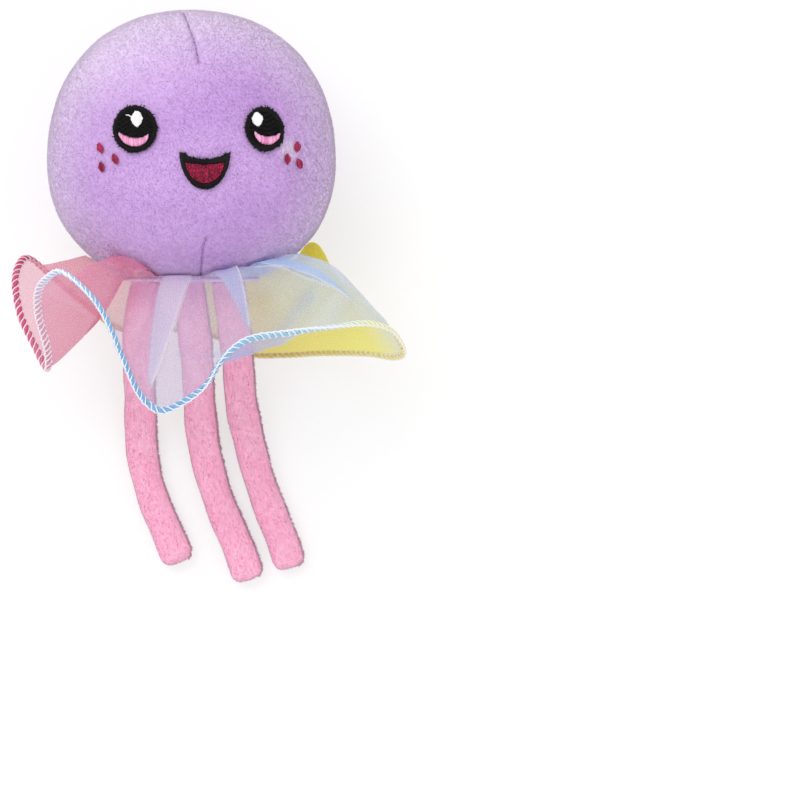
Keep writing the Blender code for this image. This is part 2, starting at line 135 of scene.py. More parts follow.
# Finish
SEAM_DEPTH = 1.0 * MM
SEAM_WIDTH = 1.3 * MM
DART_WIDTH = 0.75 * MM
DART_STITCH_PITCH_MM, DART_STITCH_LENGTH_MM = 1.1, 0.85
TOP_DART = [
    (-3.0, 49.3), (-2.1, 47.5), (-1.0, 43.9), (0.2, 40.6), (1.2, 37.3), (1.9, 33.3),
    (2.4, 31.0),
]
BOTTOM_DART = [(4.7, -26.0), (3.7, -28.7), (3.3, -32.3), (3.1, -35.0), (2.9, -38.0)]
THREAD_RADIUS = 0.18 * MM
HEAD_PILE = {
    "length": 0.55 * MM, "width": 0.18 * MM, "per_mm2": 4.7,
    "lean": 0.22, "swirl": 0.06, "stray": 0.13,
}
TENTACLE_PILE = {
    "length": 0.62 * MM, "width": 0.17 * MM, "per_mm2": 6.5,
    "lean": 0.8, "swirl": 0.05, "stray": 0.12,
}
PILE_ROOM = 0.4 * MM
PILE_RELIEF = 0.2
TUFT_ROOT = 0.1 * MM
SWIRL_SCALE = 90
LUMP_SCALE, LUMP_HEIGHT_MM = 60, 0.35
# Combed partings in the tentacles' pile: how many, their length in metres and half width
PARTINGS = 640
PARTING_LENGTHS = (1.5 * MM, 5.0 * MM)
PARTING_WIDTH = 0.20 * MM
# How much shorter the tufts in a parting are, and how much longer those of the fringe
PARTED_LOSS, FRINGE_GAIN = 0.25, 1.5
TENTACLE_GIRTH = 31.0 * MM
# How a tentacle closes at its tip, in width and in thickness: length and squareness
TENTACLE_TIPS = ((4.2 * MM, 2.8), (3.2 * MM, 2.2))

# Knife pleats: share of the hem at the neck and at the point, how far down the point
# lies, half width at the neck as a share, and the side that the top crease faces
KNIFE_PLEATS = [
    (0.120, 0.115, 0.55, 0.020, 1), (0.215, 0.230, 0.50, 0.022, 1),
    (0.262, 0.275, 0.42, 0.022, -1), (0.362, 0.351, 0.92, 0.030, -1),
    (0.452, 0.461, 0.76, 0.021, -1), (0.474, 0.572, 0.88, 0.024, 1),
    (0.640, 0.650, 0.60, 0.020, 1), (0.745, 0.750, 0.36, 0.020, -1),
    (0.830, 0.835, 0.34, 0.020, 1), (0.920, 0.925, 0.36, 0.020, -1),
]
NECK_TUCK = 0.8 * MM
PLEAT_LAYER = 0.45 * MM
GRID_STEP = 0.0011
PLEAT_WIDTH = 0.012
# Soft creases across the cloth: start and end as shares round and down, width, height
CREASES = [
    (0.478, 0.80, 0.526, 0.71, 0.007, -1.1), (0.495, 0.92, 0.545, 0.80, 0.011, 0.9),
    (0.197, 0.90, 0.150, 0.50, 0.005, 0.7), (0.180, 0.92, 0.135, 0.55, 0.009, -0.35),
    (0.500, 0.40, 0.550, 0.62, 0.006, 0.5), (0.525, 0.62, 0.575, 0.80, 0.007, -0.35),
    (0.310, 0.80, 0.330, 0.45, 0.008, 0.5), (0.395, 0.85, 0.385, 0.50, 0.009, 0.5),
    (0.590, 0.90, 0.560, 0.55, 0.010, 0.8), (0.070, 0.80, 0.045, 0.45, 0.012, 0.8),
    (0.378, 0.66, 0.440, 0.80, 0.0035, -0.9),
]
FINE_GATHERS = 62
FINE_GATHER_HEIGHT = 0.35 * MM


def smoothstep(value):
    value = np.clip(value, 0.0, 1.0)
    return value * value * (3 - 2 * value)


def plateau(value, up_from, up_by, down_from, down_by):
    """0, then 1 between a smooth rise and a smooth fall, then 0 again."""
    return smoothstep((value - up_from) / up_by) * (1 - smoothstep((value - down_from) / down_by))


def away_from(share, middle):
    """How far a share round a closed line is from another, by the shorter way."""
    return np.mod(share - middle + 0.5, 1.0) - 0.5


def travelled(steps):
    """The length up to each point, from the lengths between the points."""
    return np.concatenate([[0], np.cumsum(steps)])


def bent(value, power):
    """A sine or cosine for a rounder or squarer outline."""
    return np.sign(value) * np.abs(value) ** power


def unit(vectors):
    return vectors / np.linalg.norm(vectors, axis=-1, keepdims=True)


def tint(red, green, blue):
    """A colour as given, as the linear value that a shader takes."""
    linear = (
        ((value / 255 + 0.055) / 1.055) ** 2.4 if value > 10 else value / 3295
        for value in (red, green, blue)
    )
    return (*linear, 1.0)


# Node trees

class Wire:
    """One output socket. Arithmetic on it adds Math nodes to its tree."""

    def __init__(self, nodes, socket):
        self.nodes = nodes
        self.socket = socket

    def maths(self, operation, *sides):
        return self.nodes.add("ShaderNodeMath", {"operation": operation}, dict(enumerate(sides)))

    def __add__(self, other):
        return self.maths("ADD", self, other)

    def __radd__(self, other):
        return self.maths("ADD", other, self)

    def __sub__(self, other):
        return self.maths("SUBTRACT", self, other)

    def __rsub__(self, other):
        return self.maths("SUBTRACT", other, self)

    def __mul__(self, other):
        return self.maths("MULTIPLY", self, other)

    def __rmul__(self, other):
        return self.maths("MULTIPLY", other, self)

    def __truediv__(self, other):
        return self.maths("DIVIDE", self, other)

    def __pow__(self, other):
        return self.maths("POWER", self, other)

    def wave(self):
        return self.maths("SINE", self)

    def size(self):
        return self.maths("ABSOLUTE", self)

    def fraction(self):
        return self.maths("FRACT", self)

    def larger(self, other):
        return self.maths("MAXIMUM", self, other)

    def step_between(self, low, high):
        """0 below low, 1 above high and smooth between."""
        return self.nodes.add(
            "ShaderNodeMapRange", {"interpolation_type": "SMOOTHSTEP"},
            {"Value": self, "From Min": low, "From Max": high, "To Min": 0.0, "To Max": 1.0},
        )

    def at(self, output):
        """Another output of the same node."""
        return Wire(self.nodes, self.socket.node.outputs[output])


class Nodes:
    """A node tree with one way to add any node."""

    def __init__(self, tree):
        self.tree = tree

    def add(self, kind, settings=None, inputs=None):
        node = self.tree.nodes.new(kind)
        for name, value in (settings or {}).items():
            if name == "stops":
                self.set_stops(node.color_ramp, value)
            else:
                setattr(node, name, value)
        for key, value in (inputs or {}).items():
            if isinstance(value, Wire):
                self.tree.links.new(value.socket, node.inputs[key])
            else:
                node.inputs[key].default_value = value
        shown = [socket for socket in node.outputs if socket.enabled]
        return Wire(self, shown[0]) if shown else node

    @staticmethod
    def set_stops(ramp, stops):
        while len(ramp.elements) < len(stops):
            ramp.elements.new(0.5)
        for element, (place, colour) in zip(ramp.elements, stops):
            element.position = place
            element.color = colour

    def mix(self, share, first, second):
        """A colour between two colours."""
        return self.add(
            "ShaderNodeMix", {"data_type": "RGBA"}, {0: share, 6: first, 7: second},
        )

    def blend(self, share, first, second):
        """A shader between two shaders."""
        return self.add("ShaderNodeMixShader", {}, {0: share, 1: first, 2: second})

    def ramp(self, colours, share):
        """A colour from a list of colours with their places from 0 to 1."""
        stops = [(place, tint(*colour)) for place, colour in colours]
        return self.add("ShaderNodeValToRGB", {"stops": stops}, {0: share})

    def vector(self, operation, *sides):
        return self.add("ShaderNodeVectorMath", {"operation": operation}, dict(enumerate(sides)))

    def measure(self, operation, *sides):
        """Vector maths that gives a number."""
        return self.vector(operation, *sides).at("Value")

    def noise(self, scale, detail=2.0, roughness=0.5, vector=None):
        inputs = {"Scale": scale, "Detail": detail, "Roughness": roughness}
        if vector is not None:
            inputs["Vector"] = vector
        return self.add("ShaderNodeTexNoise", {}, inputs)

    def place(self):
        """Object coordinates."""
        return self.add("ShaderNodeTexCoord").at("Object")

    def stretched(self, vector, scale):
        return self.add("ShaderNodeMapping", {}, {"Vector": vector, "Scale": scale})

    def attribute(self, name):
        return self.add("ShaderNodeAttribute", {"attribute_name": name}).at("Fac")

    def own_value(self, name, kind):
        """A value that each point carries, for Geometry Nodes."""
        return self.add("GeometryNodeInputNamedAttribute", {"data_type": kind}, {"Name": name})

    def bump(self, height, strength, distance):
        return self.add(
            "ShaderNodeBump", {}, {"Height": height, "Strength": strength, "Distance": distance},
        )


def new_material(name, constants):
    """A Principled material and its nodes. Constants go on the shader's own sockets."""
    material = bpy.data.materials.new(name)
    material.use_nodes = True
    shader = material.node_tree.nodes["Principled BSDF"]
    for key, value in constants.items():
        shader.inputs[key].default_value = value
    return material, Nodes(material.node_tree), shader


def feed(nodes, shader, **wires):
    for key, wire in wires.items():
        nodes.tree.links.new(wire.socket, shader.inputs[key.replace("_", " ")])


def show(nodes, surface):
    """Make a shader the material's surface."""
    output = next(node for node in nodes.tree.nodes if node.type == "OUTPUT_MATERIAL")
    nodes.tree.links.new(surface.socket, output.inputs["Surface"])


# Materials

def plush_cloth(name, colours, sheen, pale_spots=(), painted_light_way=None, streaks=False):
    """Short pile: brushed patches, fine grain, and painted shade in seams and partings.

    Its colours are the light and deep tones of the pile, the pale tone of brushed places,
    and the painted shadow in seams and partings. The pale tone also paints light on the tuft
    tips, on the head's palest side, where the given direction points, and as sheen at its outline.
    """
    light, deep, pale, shadow = (tint(*colour) for colour in colours)
    material, nodes, shader = new_material(name, {
        "Roughness": 0.92, "Specular IOR Level": 0.12, "Sheen Weight": sheen,
        "Sheen Roughness": 0.4, "Sheen Tint": pale,
    })
    place = nodes.place()
    if streaks:
        lie = nodes.add(
            "ShaderNodeCombineXYZ", {}, {0: nodes.attribute("round"), 1: nodes.attribute("along")},
        )
        fine = nodes.noise(1.0, 3.0, 0.6, nodes.stretched(lie, (60.0, 320.0, 1.0)))
        brushed = nodes.noise(1.0, 2.0, 0.5, nodes.stretched(lie, (7.0, 70.0, 1.0)))
    else:
        fine = nodes.noise(2900.0, 2.0, 0.7, place)
        brushed = nodes.noise(1.0, 2.0, 0.5, nodes.stretched(place, (26.0, 44.0, 30.0)))
    share = (fine * 0.6 + brushed * 0.4).step_between(0.30, 0.68)
    tone = nodes.attribute("tone")
    tip = nodes.attribute("tip")
    seam = nodes.attribute("seam")
    slit = nodes.attribute("slit")
    colour = nodes.mix(share * 0.5 + tone * 0.5, deep, light)
    # Painted shade: tufts darker at the root and paler towards the tip
    colour = nodes.mix(tip * 0.15, colour, pale)
    # Painted light: paler towards the head's top left side, as if lit from there
    if painted_light_way is not None:
        offset = nodes.vector("SUBTRACT", place, tuple(HEAD_MIDDLE))
        reach = nodes.measure("DOT_PRODUCT", offset, painted_light_way)
        colour = nodes.mix(reach.step_between(0.014, 0.054) * 0.5, colour, pale)
        # Painted sheen: paler towards the head's outline
        rim = nodes.measure("LENGTH", nodes.vector("MULTIPLY", offset, (1.0, 1.0, 0.0)))
        colour = nodes.mix(rim.step_between(0.030, 0.049) * 0.42, colour, pale)
    # Painted shadow: seams and partings darkened towards the shadow tone
    colour = nodes.mix(seam ** 2.0 * 0.5 + slit * 0.85, colour, shadow)
    for middle, radius in pale_spots:
        away = nodes.measure("DISTANCE", place, middle)
        spot = (1.0 - away.step_between(radius * 0.3, radius)) * (0.15 + fine * 0.8)
        colour = nodes.mix(spot, colour, pale)
    feed(nodes, shader, Base_Color=colour, Normal=nodes.bump(fine, 0.3, 0.0003))
    return material


def thread_cloth(name, light, deep, roughness=0.42, shine=0.4):
    """Polyester thread, each run of it in its own tone."""
    material, nodes, shader = new_material(name, {
        "Roughness": roughness, "Specular IOR Level": shine,
    })
    grain = nodes.noise(900.0, 3.0, 0.6, nodes.place())
    tone = nodes.attribute("tone")
    share = (grain * 0.6 + tone * 0.5).step_between(0.25, 0.85)
    colour = nodes.mix(share, tint(*deep), tint(*light))
    feed(nodes, shader, Base_Color=colour, Normal=nodes.bump(grain, 0.2, 0.0001))
    return material


# Dyes round the skirt, by share of the hem: the cloth, its pleats and the cord's thread
SKIRT_COLOURS = [
    (0.00, (244, 130, 152)), (0.03, (232, 106, 152)), (0.12, (230, 100, 154)),
    (0.19, (232, 118, 168)), (0.25, (240, 144, 184)), (0.30, (238, 166, 202)),
    (0.345, (214, 190, 228)), (0.37, (178, 180, 218)), (0.41, (200, 182, 226)),
    (0.46, (200, 200, 232)), (0.50, (192, 206, 232)), (0.54, (194, 220, 255)),
    (0.59, (212, 232, 255)), (0.63, (236, 236, 140)), (0.67, (244, 236, 52)),
    (0.76, (244, 232, 52)), (0.82, (244, 216, 96)), (0.90, (246, 200, 128)),
    (0.96, (246, 178, 142)), (1.00, (244, 130, 152)),
]
PLEAT_COLOURS = [
    (0.00, (240, 126, 162)), (0.16, (240, 122, 172)), (0.27, (238, 116, 172)),
    (0.305, (238, 140, 190)), (0.345, (240, 228, 248)), (0.40, (232, 234, 250)),
    (0.45, (192, 208, 242)), (0.52, (192, 220, 248)), (0.60, (206, 228, 248)),
    (0.68, (238, 226, 104)), (0.82, (238, 208, 110)), (0.93, (240, 160, 140)),
    (1.00, (240, 126, 162)),
]
HEM_COLOURS = [
    (0.00, (206, 60, 110)), (0.07, (206, 70, 116)), (0.115, (216, 130, 160)),
    (0.17, (222, 160, 186)), (0.20, (210, 180, 214)), (0.225, (170, 200, 234)),
    (0.27, (118, 176, 222)), (0.32, (104, 166, 214)), (0.42, (112, 172, 216)),
    (0.48, (150, 200, 228)), (0.52, (176, 214, 214)), (0.56, (220, 226, 130)),
    (0.60, (240, 228, 104)), (0.70, (238, 222, 98)), (0.82, (238, 212, 92)),
    (0.90, (240, 196, 140)), (0.97, (236, 150, 160)), (1.00, (206, 60, 110)),
]


def spot_share(wire, middle, reach):
    """1 at the middle, falling to 0 at its reach on both sides."""
    return 1.0 - (wire - middle).size().step_between(0.0, reach)


# The light that passes the cloth: the first dye, then where each next dye begins and holds
FIRST_GLOW = (236, 136, 168)
GLOWS = [
    (0.24, 0.35, (218, 196, 230)), (0.42, 0.53, (204, 224, 252)), (0.59, 0.67, (244, 234, 40)),
    (0.80, 0.92, (246, 202, 136)), (0.93, 1.00, (244, 146, 176)),
]
# The weave: the cloth's length and depth, and the pitch of its threads both ways
HEM_ROUND_MM, CLOTH_DOWN_MM = 434.0, 54.0
WARP_PITCH_MM, WEFT_PITCH_MM = 0.42, 0.46


def glow(nodes, dye):
    return nodes.add("ShaderNodeBsdfTranslucent", {}, {"Color": tint(*dye)})


def organza():
    """Sheer plain-weave cloth: fine threads with painted glints, clear gaps that let light by, and
    painted highlights and shade along its pleats and creases.
    """
    material, nodes, shader = new_material("organza", {
        "Roughness": 0.42, "Specular IOR Level": 0.4,
    })
    cloth = nodes.add("ShaderNodeUVMap", {"uv_map": "cloth"})
    sides = nodes.add("ShaderNodeSeparateXYZ", {}, {0: cloth})
    round_share = (sides.at("X") + KNIFE_PLEATS[0][0]).fraction()
    down_share = sides.at("Y")
    fold = nodes.attribute("fold")
    edge = nodes.attribute("edge")
    place = nodes.place()
    cloud = nodes.noise(45.0, 2.0, 0.5, place) - 0.5
    dyed = round_share + cloud * 0.05 + (down_share - 0.5) * 0.02
    ground = nodes.ramp(SKIRT_COLOURS, dyed)
    bluer = down_share * (1.0 - round_share.step_between(0.38, 0.44)) * 0.06
    lapped = nodes.ramp(PLEAT_COLOURS, dyed + bluer)
    colour = nodes.mix(fold * 0.85, ground, lapped)
    # Deeper dye on the crest by the neck, and blue where the edge sags under its cord
    crest = spot_share(round_share, 0.262, 0.055) * spot_share(down_share, 0.34, 0.26)
    colour = nodes.mix(crest * 0.25, colour, tint(240, 80, 154))
    sag = spot_share(round_share, 0.450, 0.030) * spot_share(down_share, 0.87, 0.20)
    colour = nodes.mix(sag * 0.9, colour, tint(140, 184, 236))
    # Painted shade: a brownish darker spot in a hollow of the cloth
    hollow_shade = spot_share(round_share, 0.483, 0.022) * spot_share(down_share, 0.60, 0.12)
    colour = nodes.mix(hollow_shade * 0.5, colour, tint(176, 158, 140))
    # Painted shade in the creases' valleys, and painted highlight on their ridges
    rise = nodes.attribute("rise")
    ridge = rise.step_between(0.15, 0.9)
    valley = (rise * -1.0).step_between(0.15, 1.0)
    bluish_side = round_share.step_between(0.30, 0.42)
    painted_valley_shade = nodes.mix(bluish_side, tint(226, 92, 146), tint(142, 168, 214))
    colour = nodes.mix(valley * 0.5, colour, painted_valley_shade)
    grain = nodes.noise(3400.0, 2.0, 0.6, place)
    warp = (round_share * (HEM_ROUND_MM * math.pi / WARP_PITCH_MM)).wave().size()
    weft = (down_share * (CLOTH_DOWN_MM * math.pi / WEFT_PITCH_MM)).wave().size()
    weave = (warp + weft) * 0.5
    # Painted glints: fine specks that are mixed towards white
    glint = (grain * 0.8 + weave * 0.2).step_between(0.48, 0.66)
    whiter = round_share.step_between(0.31, 0.34)
    band = spot_share(round_share, 0.352, 0.045)
    # Painted highlight: laps, the first band, crease ridges and the pleats' top creases mixed
    # towards white
    shine = fold * (band * 0.3 + 0.10) + ridge * 0.30 + edge * (whiter * 0.6 + 0.15)
    yellow = round_share.step_between(0.58, 0.64) * (1.0 - round_share.step_between(0.78, 0.86))
    colour = nodes.mix(glint * (0.42 - yellow * 0.3) + shine, colour, tint(252, 252, 254))
    pink = round_share.step_between(0.94, 0.98) + (1.0 - round_share.step_between(0.19, 0.26))
    cover = 0.37 + weave * 0.05 + glint * 0.16 + fold * 0.17 + edge * 0.25 + yellow * 0.34
    cover = cover + valley * 0.14 + ridge * 0.12 + sag * 0.22 + crest * 0.08 + pink * 0.11
    bluish = spot_share(round_share, 0.535, 0.07)
    gathered = 1.0 - down_share.step_between(0.02, 0.15)
    cover = cover + bluish * 0.08 + gathered * 0.38 + spot_share(round_share, 0.385, 0.05) * 0.09
    feed(nodes, shader, Base_Color=colour, Normal=nodes.bump(weave + grain, 0.25, 0.0001))
    through = glow(nodes, FIRST_GLOW)
    for low, high, dye in GLOWS:
        through = nodes.blend(round_share.step_between(low, high), through, glow(nodes, dye))
    # Painted glints and pleat-edge highlight in the light that passes, too
    bright = glint * (0.3 - yellow * 0.25) + edge * 0.4
    through = nodes.blend(bright, through, glow(nodes, (252, 252, 254)))
    threads = nodes.blend(0.5, Wire(nodes, shader.outputs["BSDF"]), through)
    show(nodes, nodes.blend(cover, nodes.add("ShaderNodeBsdfTransparent"), threads))
    return material


def hem_thread():
    """Fluffy variegated thread: coloured strands beside nearly white ones."""
    material, nodes, shader = new_material("hem_thread", {
        "Roughness": 0.55, "Specular IOR Level": 0.35, "Sheen Weight": 0.3,
    })
    share = nodes.attribute("share")
    strand = nodes.attribute("strand")
    colour = nodes.ramp(HEM_COLOURS, share)
    pale = nodes.mix(0.12, tint(248, 246, 250), colour)
    grain = nodes.noise(1500.0, 2.0, 0.6, nodes.place())
    colour = nodes.mix(strand, colour, pale)
    colour = nodes.mix(grain.step_between(0.45, 0.8) * 0.25, colour, tint(252, 252, 252))
    feed(nodes, shader, Base_Color=colour, Normal=nodes.bump(grain, 0.5, 0.0002))
    return material


def loose_fibre():
    material, nodes, shader = new_material("loose_fibre", {"Roughness": 0.95})
    wisps = nodes.noise(220.0, 6.0, 0.7, nodes.place())
    colour = nodes.mix(wisps, tint(200, 200, 205), tint(250, 250, 250))
    feed(nodes, shader, Base_Color=colour, Normal=nodes.bump(wisps, 0.8, 0.001))
    return material


# Meshes

def mesh_of(name, points, faces=(), edges=(), **values):
    """A mesh from points in the head's own frame. Values become point attributes."""
    mesh = bpy.data.meshes.new(name)
    mesh.from_pydata((points + HEAD_MIDDLE).tolist(), edges, faces)
    for key, value in values.items():
        kind = "FLOAT_VECTOR" if value.ndim == 2 else "FLOAT"
        layer = mesh.attributes.new(key, kind, "POINT")
        field = "vector" if value.ndim == 2 else "value"
        layer.data.foreach_set(field, value.astype(np.float32).ravel())
    mesh.update()
    return mesh


def grid_faces(rows, columns, closed):
    """Quads over rows of points that run against the clock seen from outside."""
    faces = []
    for row in range(rows - 1):
        for column in range(columns if closed else columns - 1):
            beside = (column + 1) % columns
            a = row * columns + column
            b = row * columns + beside
            faces.append((a, b, b + columns, a + columns))
    return faces


def read_values(items, key, width=1, kind=np.float32):
    """One property of all of a mesh's items."""
    values = np.empty(len(items) * width, dtype=kind)
    items.foreach_get(key, values)
    return values.reshape(-1, width) if width > 1 else values


def merged(mesh, distance, then=None):
    """Join a mesh's doubled points, and do one thing more to it on the way."""
    bm = bmesh.new()
    bm.from_mesh(mesh)
    bmesh.ops.remove_doubles(bm, verts=bm.verts[:], dist=distance)
    if then is not None:
        then(bm)
    bm.to_mesh(mesh)
    bm.free()
    return mesh


def as_object(name, mesh, material):
    obj = bpy.data.objects.new(name, mesh)
    bpy.context.scene.collection.objects.link(obj)
    obj.data.materials.clear()
    obj.data.materials.append(material)
    return obj


def worked_in(obj):
    """The plain mesh that an object's modifiers make. The object itself goes."""
    graph = bpy.context.evaluated_depsgraph_get()
    mesh = bpy.data.meshes.new_from_object(obj.evaluated_get(graph))
    mesh.name = obj.name
    old = obj.data
    bpy.data.objects.remove(obj)
    bpy.data.meshes.remove(old)
    mesh.shade_smooth()
    return mesh


def piece(name, mesh, material, nodes=()):
    """A finished piece of the toy, riding on its one body."""
    obj = as_object(name, mesh, material)
    mesh.shade_smooth()
    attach(obj, "root")
    if nodes:
        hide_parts(*nodes)
    return obj


def new_tree(name, inputs):
    """A Geometry Nodes tree with named inputs, its first node and its nodes."""
    tree = bpy.data.node_groups.new(name, "GeometryNodeTree")
    tree.interface.new_socket("Geometry", in_out="INPUT", socket_type="NodeSocketGeometry")
    for label, kind in inputs.items():
        tree.interface.new_socket(label, in_out="INPUT", socket_type=kind)
    tree.interface.new_socket("Geometry", in_out="OUTPUT", socket_type="NodeSocketGeometry")
    nodes = Nodes(tree)
    return tree, nodes, nodes.add("NodeGroupInput")


def end_tree(nodes, geometry, material):
    plain = nodes.add("GeometryNodeRealizeInstances", {}, {"Geometry": geometry})
    dressed = nodes.add("GeometryNodeSetMaterial", {}, {"Geometry": plain, "Material": material})
    nodes.add("NodeGroupOutput", {}, {"Geometry": dressed})


def grown(mesh, tree, material, **settings):
    """Run a Geometry Nodes tree on a mesh and return the mesh that it makes."""
    obj = as_object("growing", mesh, material)
    modifier = obj.modifiers.new("grow", "NODES")
    modifier.node_group = tree
    settings["Material"] = material
    for item in tree.interface.items_tree:
        if item.in_out == "INPUT" and item.name in settings:
            modifier[item.identifier] = settings[item.name]
    return worked_in(obj)


def tuft_tree():
    """Stand a thin three-sided tuft on each point, along the point's own aim."""
    tree, nodes, start = new_tree("pile_tufts", {
        "Length": "NodeSocketFloat", "Width": "NodeSocketFloat",
        "Material": "NodeSocketMaterial",
    })
    length = start.at("Length")
    cone = nodes.add(
        "GeometryNodeMeshCone", {"fill_type": "NONE"},
        {"Vertices": 3, "Radius Top": 0.0, "Radius Bottom": start.at("Width"), "Depth": length},
    )
    place = nodes.add("GeometryNodeInputPosition")
    height = nodes.add("ShaderNodeSeparateXYZ", {}, {0: place}).at("Z")
    # The height up each tuft, which the pile material uses for painted shade at the roots
    cone = nodes.add(
        "GeometryNodeStoreNamedAttribute", {"data_type": "FLOAT", "domain": "POINT"},
        {"Geometry": cone, "Name": "tip", "Value": height / length},
    )
    aim = nodes.own_value("aim", "FLOAT_VECTOR")
    size = nodes.own_value("size", "FLOAT")
    turn = nodes.add("FunctionNodeAlignRotationToVector", {"axis": "Z"}, {"Vector": aim})
    scale = nodes.add("ShaderNodeCombineXYZ", {}, {0: size, 1: size, 2: size})
    tufts = nodes.add(
        "GeometryNodeInstanceOnPoints", {},
        {"Points": start.at("Geometry"), "Instance": cone, "Rotation": turn, "Scale": scale},
    )
    end_tree(nodes, tufts, start.at("Material"))
    return tree


def thread_tree():
    """Draw a round thread along every run of edges."""
    tree, nodes, start = new_tree("threads", {
        "Radius": "NodeSocketFloat", "Sides": "NodeSocketInt", "Material": "NodeSocketMaterial",
    })
    runs = nodes.add("GeometryNodeMeshToCurve", {}, {"Mesh": start.at("Geometry")})
    thick = nodes.own_value("thick", "FLOAT")
    section = nodes.add(
        "GeometryNodeCurvePrimitiveCircle", {},
        {"Resolution": start.at("Sides"), "Radius": start.at("Radius")},
    )
    threads = nodes.add(
        "GeometryNodeCurveToMesh", {},
        {"Curve": runs, "Profile Curve": section, "Scale": thick, "Fill Caps": True},
    )
    end_tree(nodes, threads, start.at("Material"))
    return tree


def scattered(mesh, per_mm2, draws):
    """Random points over a mesh, the outward direction at each, and what the mesh carries."""
    mesh.calc_loop_triangles()
    corners = read_values(mesh.loop_triangles, "vertices", 3, np.int32)
    places = read_values(mesh.vertices, "co", 3).astype(float)
    outward = read_values(mesh.vertex_normals, "vector", 3).astype(float)
    a, b, c = (places[corners[:, k]] for k in range(3))
    areas = np.linalg.norm(np.cross(b - a, c - a), axis=1) / 2
    count = int(areas.sum() / MM ** 2 * per_mm2)
    chosen = draws.choice(len(areas), count, p=areas / areas.sum())
    first = np.sqrt(draws.random(count))
    second = draws.random(count)
    weights = np.stack([1 - first, first * (1 - second), first * second], axis=1)
    points = (places[corners[chosen]] * weights[..., None]).sum(axis=1)
    normals = (outward[corners[chosen]] * weights[..., None]).sum(axis=1)
    carried = {}
    for name in ("seam", "round", "along", "fringe"):
        layer = mesh.attributes.get(name)
        if layer is not None:
            values = read_values(layer.data, "value")
            carried[name] = (values[corners[chosen]] * weights).sum(axis=1)
    return points - HEAD_MIDDLE, unit(normals), carried


def swirl(points, scale, seed):
    """A smooth wandering direction at each point, for brushed patches of pile."""
    shift = Vector((seed * 7.3, seed * 3.1, seed * 5.7))
    return np.array([noise.noise_vector(Vector(point) * scale + shift) for point in points])


def partings(round_share, along, draws):
    """How near each tuft of a tentacle is to one of its short lengthwise partings."""
    depth = np.zeros(len(along))
    reach = along.max()
    for _ in range(PARTINGS):
        spot = draws.random()
        start = draws.uniform(0.15, 0.97) * reach
        length = draws.uniform(*PARTING_LENGTHS)
        off_end = np.maximum(np.maximum(start - along, along - start - length), 0)
        aside = away_from(round_share, spot) * TENTACLE_GIRTH
        near = np.exp(-(aside / PARTING_WIDTH) ** 2 - (off_end / (0.5 * MM)) ** 2)
        depth = np.maximum(depth, near * draws.uniform(0.6, 1.0))
    return depth


def pile_of(name, mesh, pile, nap, seed, material, tree, keep=None):
    """The tufts of one plush cover, leaning along the nap."""
    draws = np.random.default_rng(seed)
    points, normals, carried = scattered(mesh, pile["per_mm2"], draws)
    if keep is not None:
        kept = keep(points)
        points, normals = points[kept], normals[kept]
        carried = {key: values[kept] for key, values in carried.items()}
    count = len(points)
    # Partings and the fringe along one side seam get the slit mask, painted darker as shade
    if "fringe" in carried:
        parted = partings(carried["round"], carried["along"], draws)
        carried["slit"] = np.maximum(parted, 0.5 * carried["fringe"])
    along = nap - normals * (normals @ nap)[:, None]
    wander = swirl(points, SWIRL_SCALE, seed) * pile["swirl"]
    wander = wander + draws.normal(0, pile["stray"], (count, 3))
    aim = unit(normals + along * pile["lean"] + wander)
    size = draws.uniform(0.7, 1.15, count) * (1 - PARTED_LOSS * carried.get("slit", 0.0))
    size = size * (1 + FRINGE_GAIN * carried.pop("fringe", 0.0))
    seeds = mesh_of(
        name, points - normals * TUFT_ROOT, aim=aim, size=size,
        tone=draws.random(count), cover=normals, **carried,
    )
    mesh = grown(seeds, tree, material, Length=pile["length"], Width=pile["width"])
    return lit_as_cover(mesh)


def lit_as_cover(mesh):
    """Shade the tufts mostly as the cover under them, as a dense soft pile is."""
    cover = read_values(mesh.attributes["cover"].data, "vector", 3)
    own = read_values(mesh.vertex_normals, "vector", 3)
    normals = unit(cover + own * PILE_RELIEF)
    mesh.attributes.remove(mesh.attributes["cover"])
    mesh.normals_split_custom_set_from_vertices(normals.tolist())
    return mesh


# Head

def head_normal(points):
    """The outward direction on the smooth head."""
    size = np.broadcast_to(HEAD_SIZE, points.shape).copy()
    size[..., 1] = np.where(points[..., 1] > 0, HEAD_SIZE[1], HEAD_BASE)
    return unit(np.sign(points) * np.abs(points / size) ** (HEAD_ROUNDNESS - 1) / size)


def on_face(x, y, lift):
    """Points over the front of the head, lifted off it. x and y are in millimetres."""
    x, y = np.asarray(x, float) * MM, np.asarray(y, float) * MM
    up = np.where(y > 0, HEAD_SIZE[1], HEAD_BASE)
    left = 1 - np.abs(x / HEAD_SIZE[0]) ** HEAD_ROUNDNESS - np.abs(y / up) ** HEAD_ROUNDNESS
    z = HEAD_SIZE[2] * np.clip(left, 1e-6, 1) ** (1 / HEAD_ROUNDNESS)
    points = np.stack([x, y, z], axis=-1)
    return points + head_normal(points) * np.asarray(lift)[..., None]


def base_drop():
    share = (NECK_HALF_WIDTH / HEAD_SIZE[0]) ** HEAD_ROUNDNESS
    return HEAD_BASE * (1 - share) ** (1 / HEAD_ROUNDNESS)


def neck_half_depth():
    share = (base_drop() / HEAD_BASE) ** HEAD_ROUNDNESS
    return HEAD_SIZE[2] * (1 - share) ** (1 / HEAD_ROUNDNESS)


def dart_dip(points, dart):
    """How deep the cover sinks near a dart's line of stitches."""
    line = np.array(dart)
    steps = np.linspace(0, len(line) - 1, 60)
    x = np.interp(steps, range(len(line)), line[:, 0])
    y = np.interp(steps, range(len(line)), line[:, 1])
    route = on_face(x, y, 0.0)
    near = np.full(len(points), 1.0)
    for spot in route:
        near = np.minimum(near, np.linalg.norm(points - spot, axis=1))
    return np.exp(-(near / DART_WIDTH) ** 2)


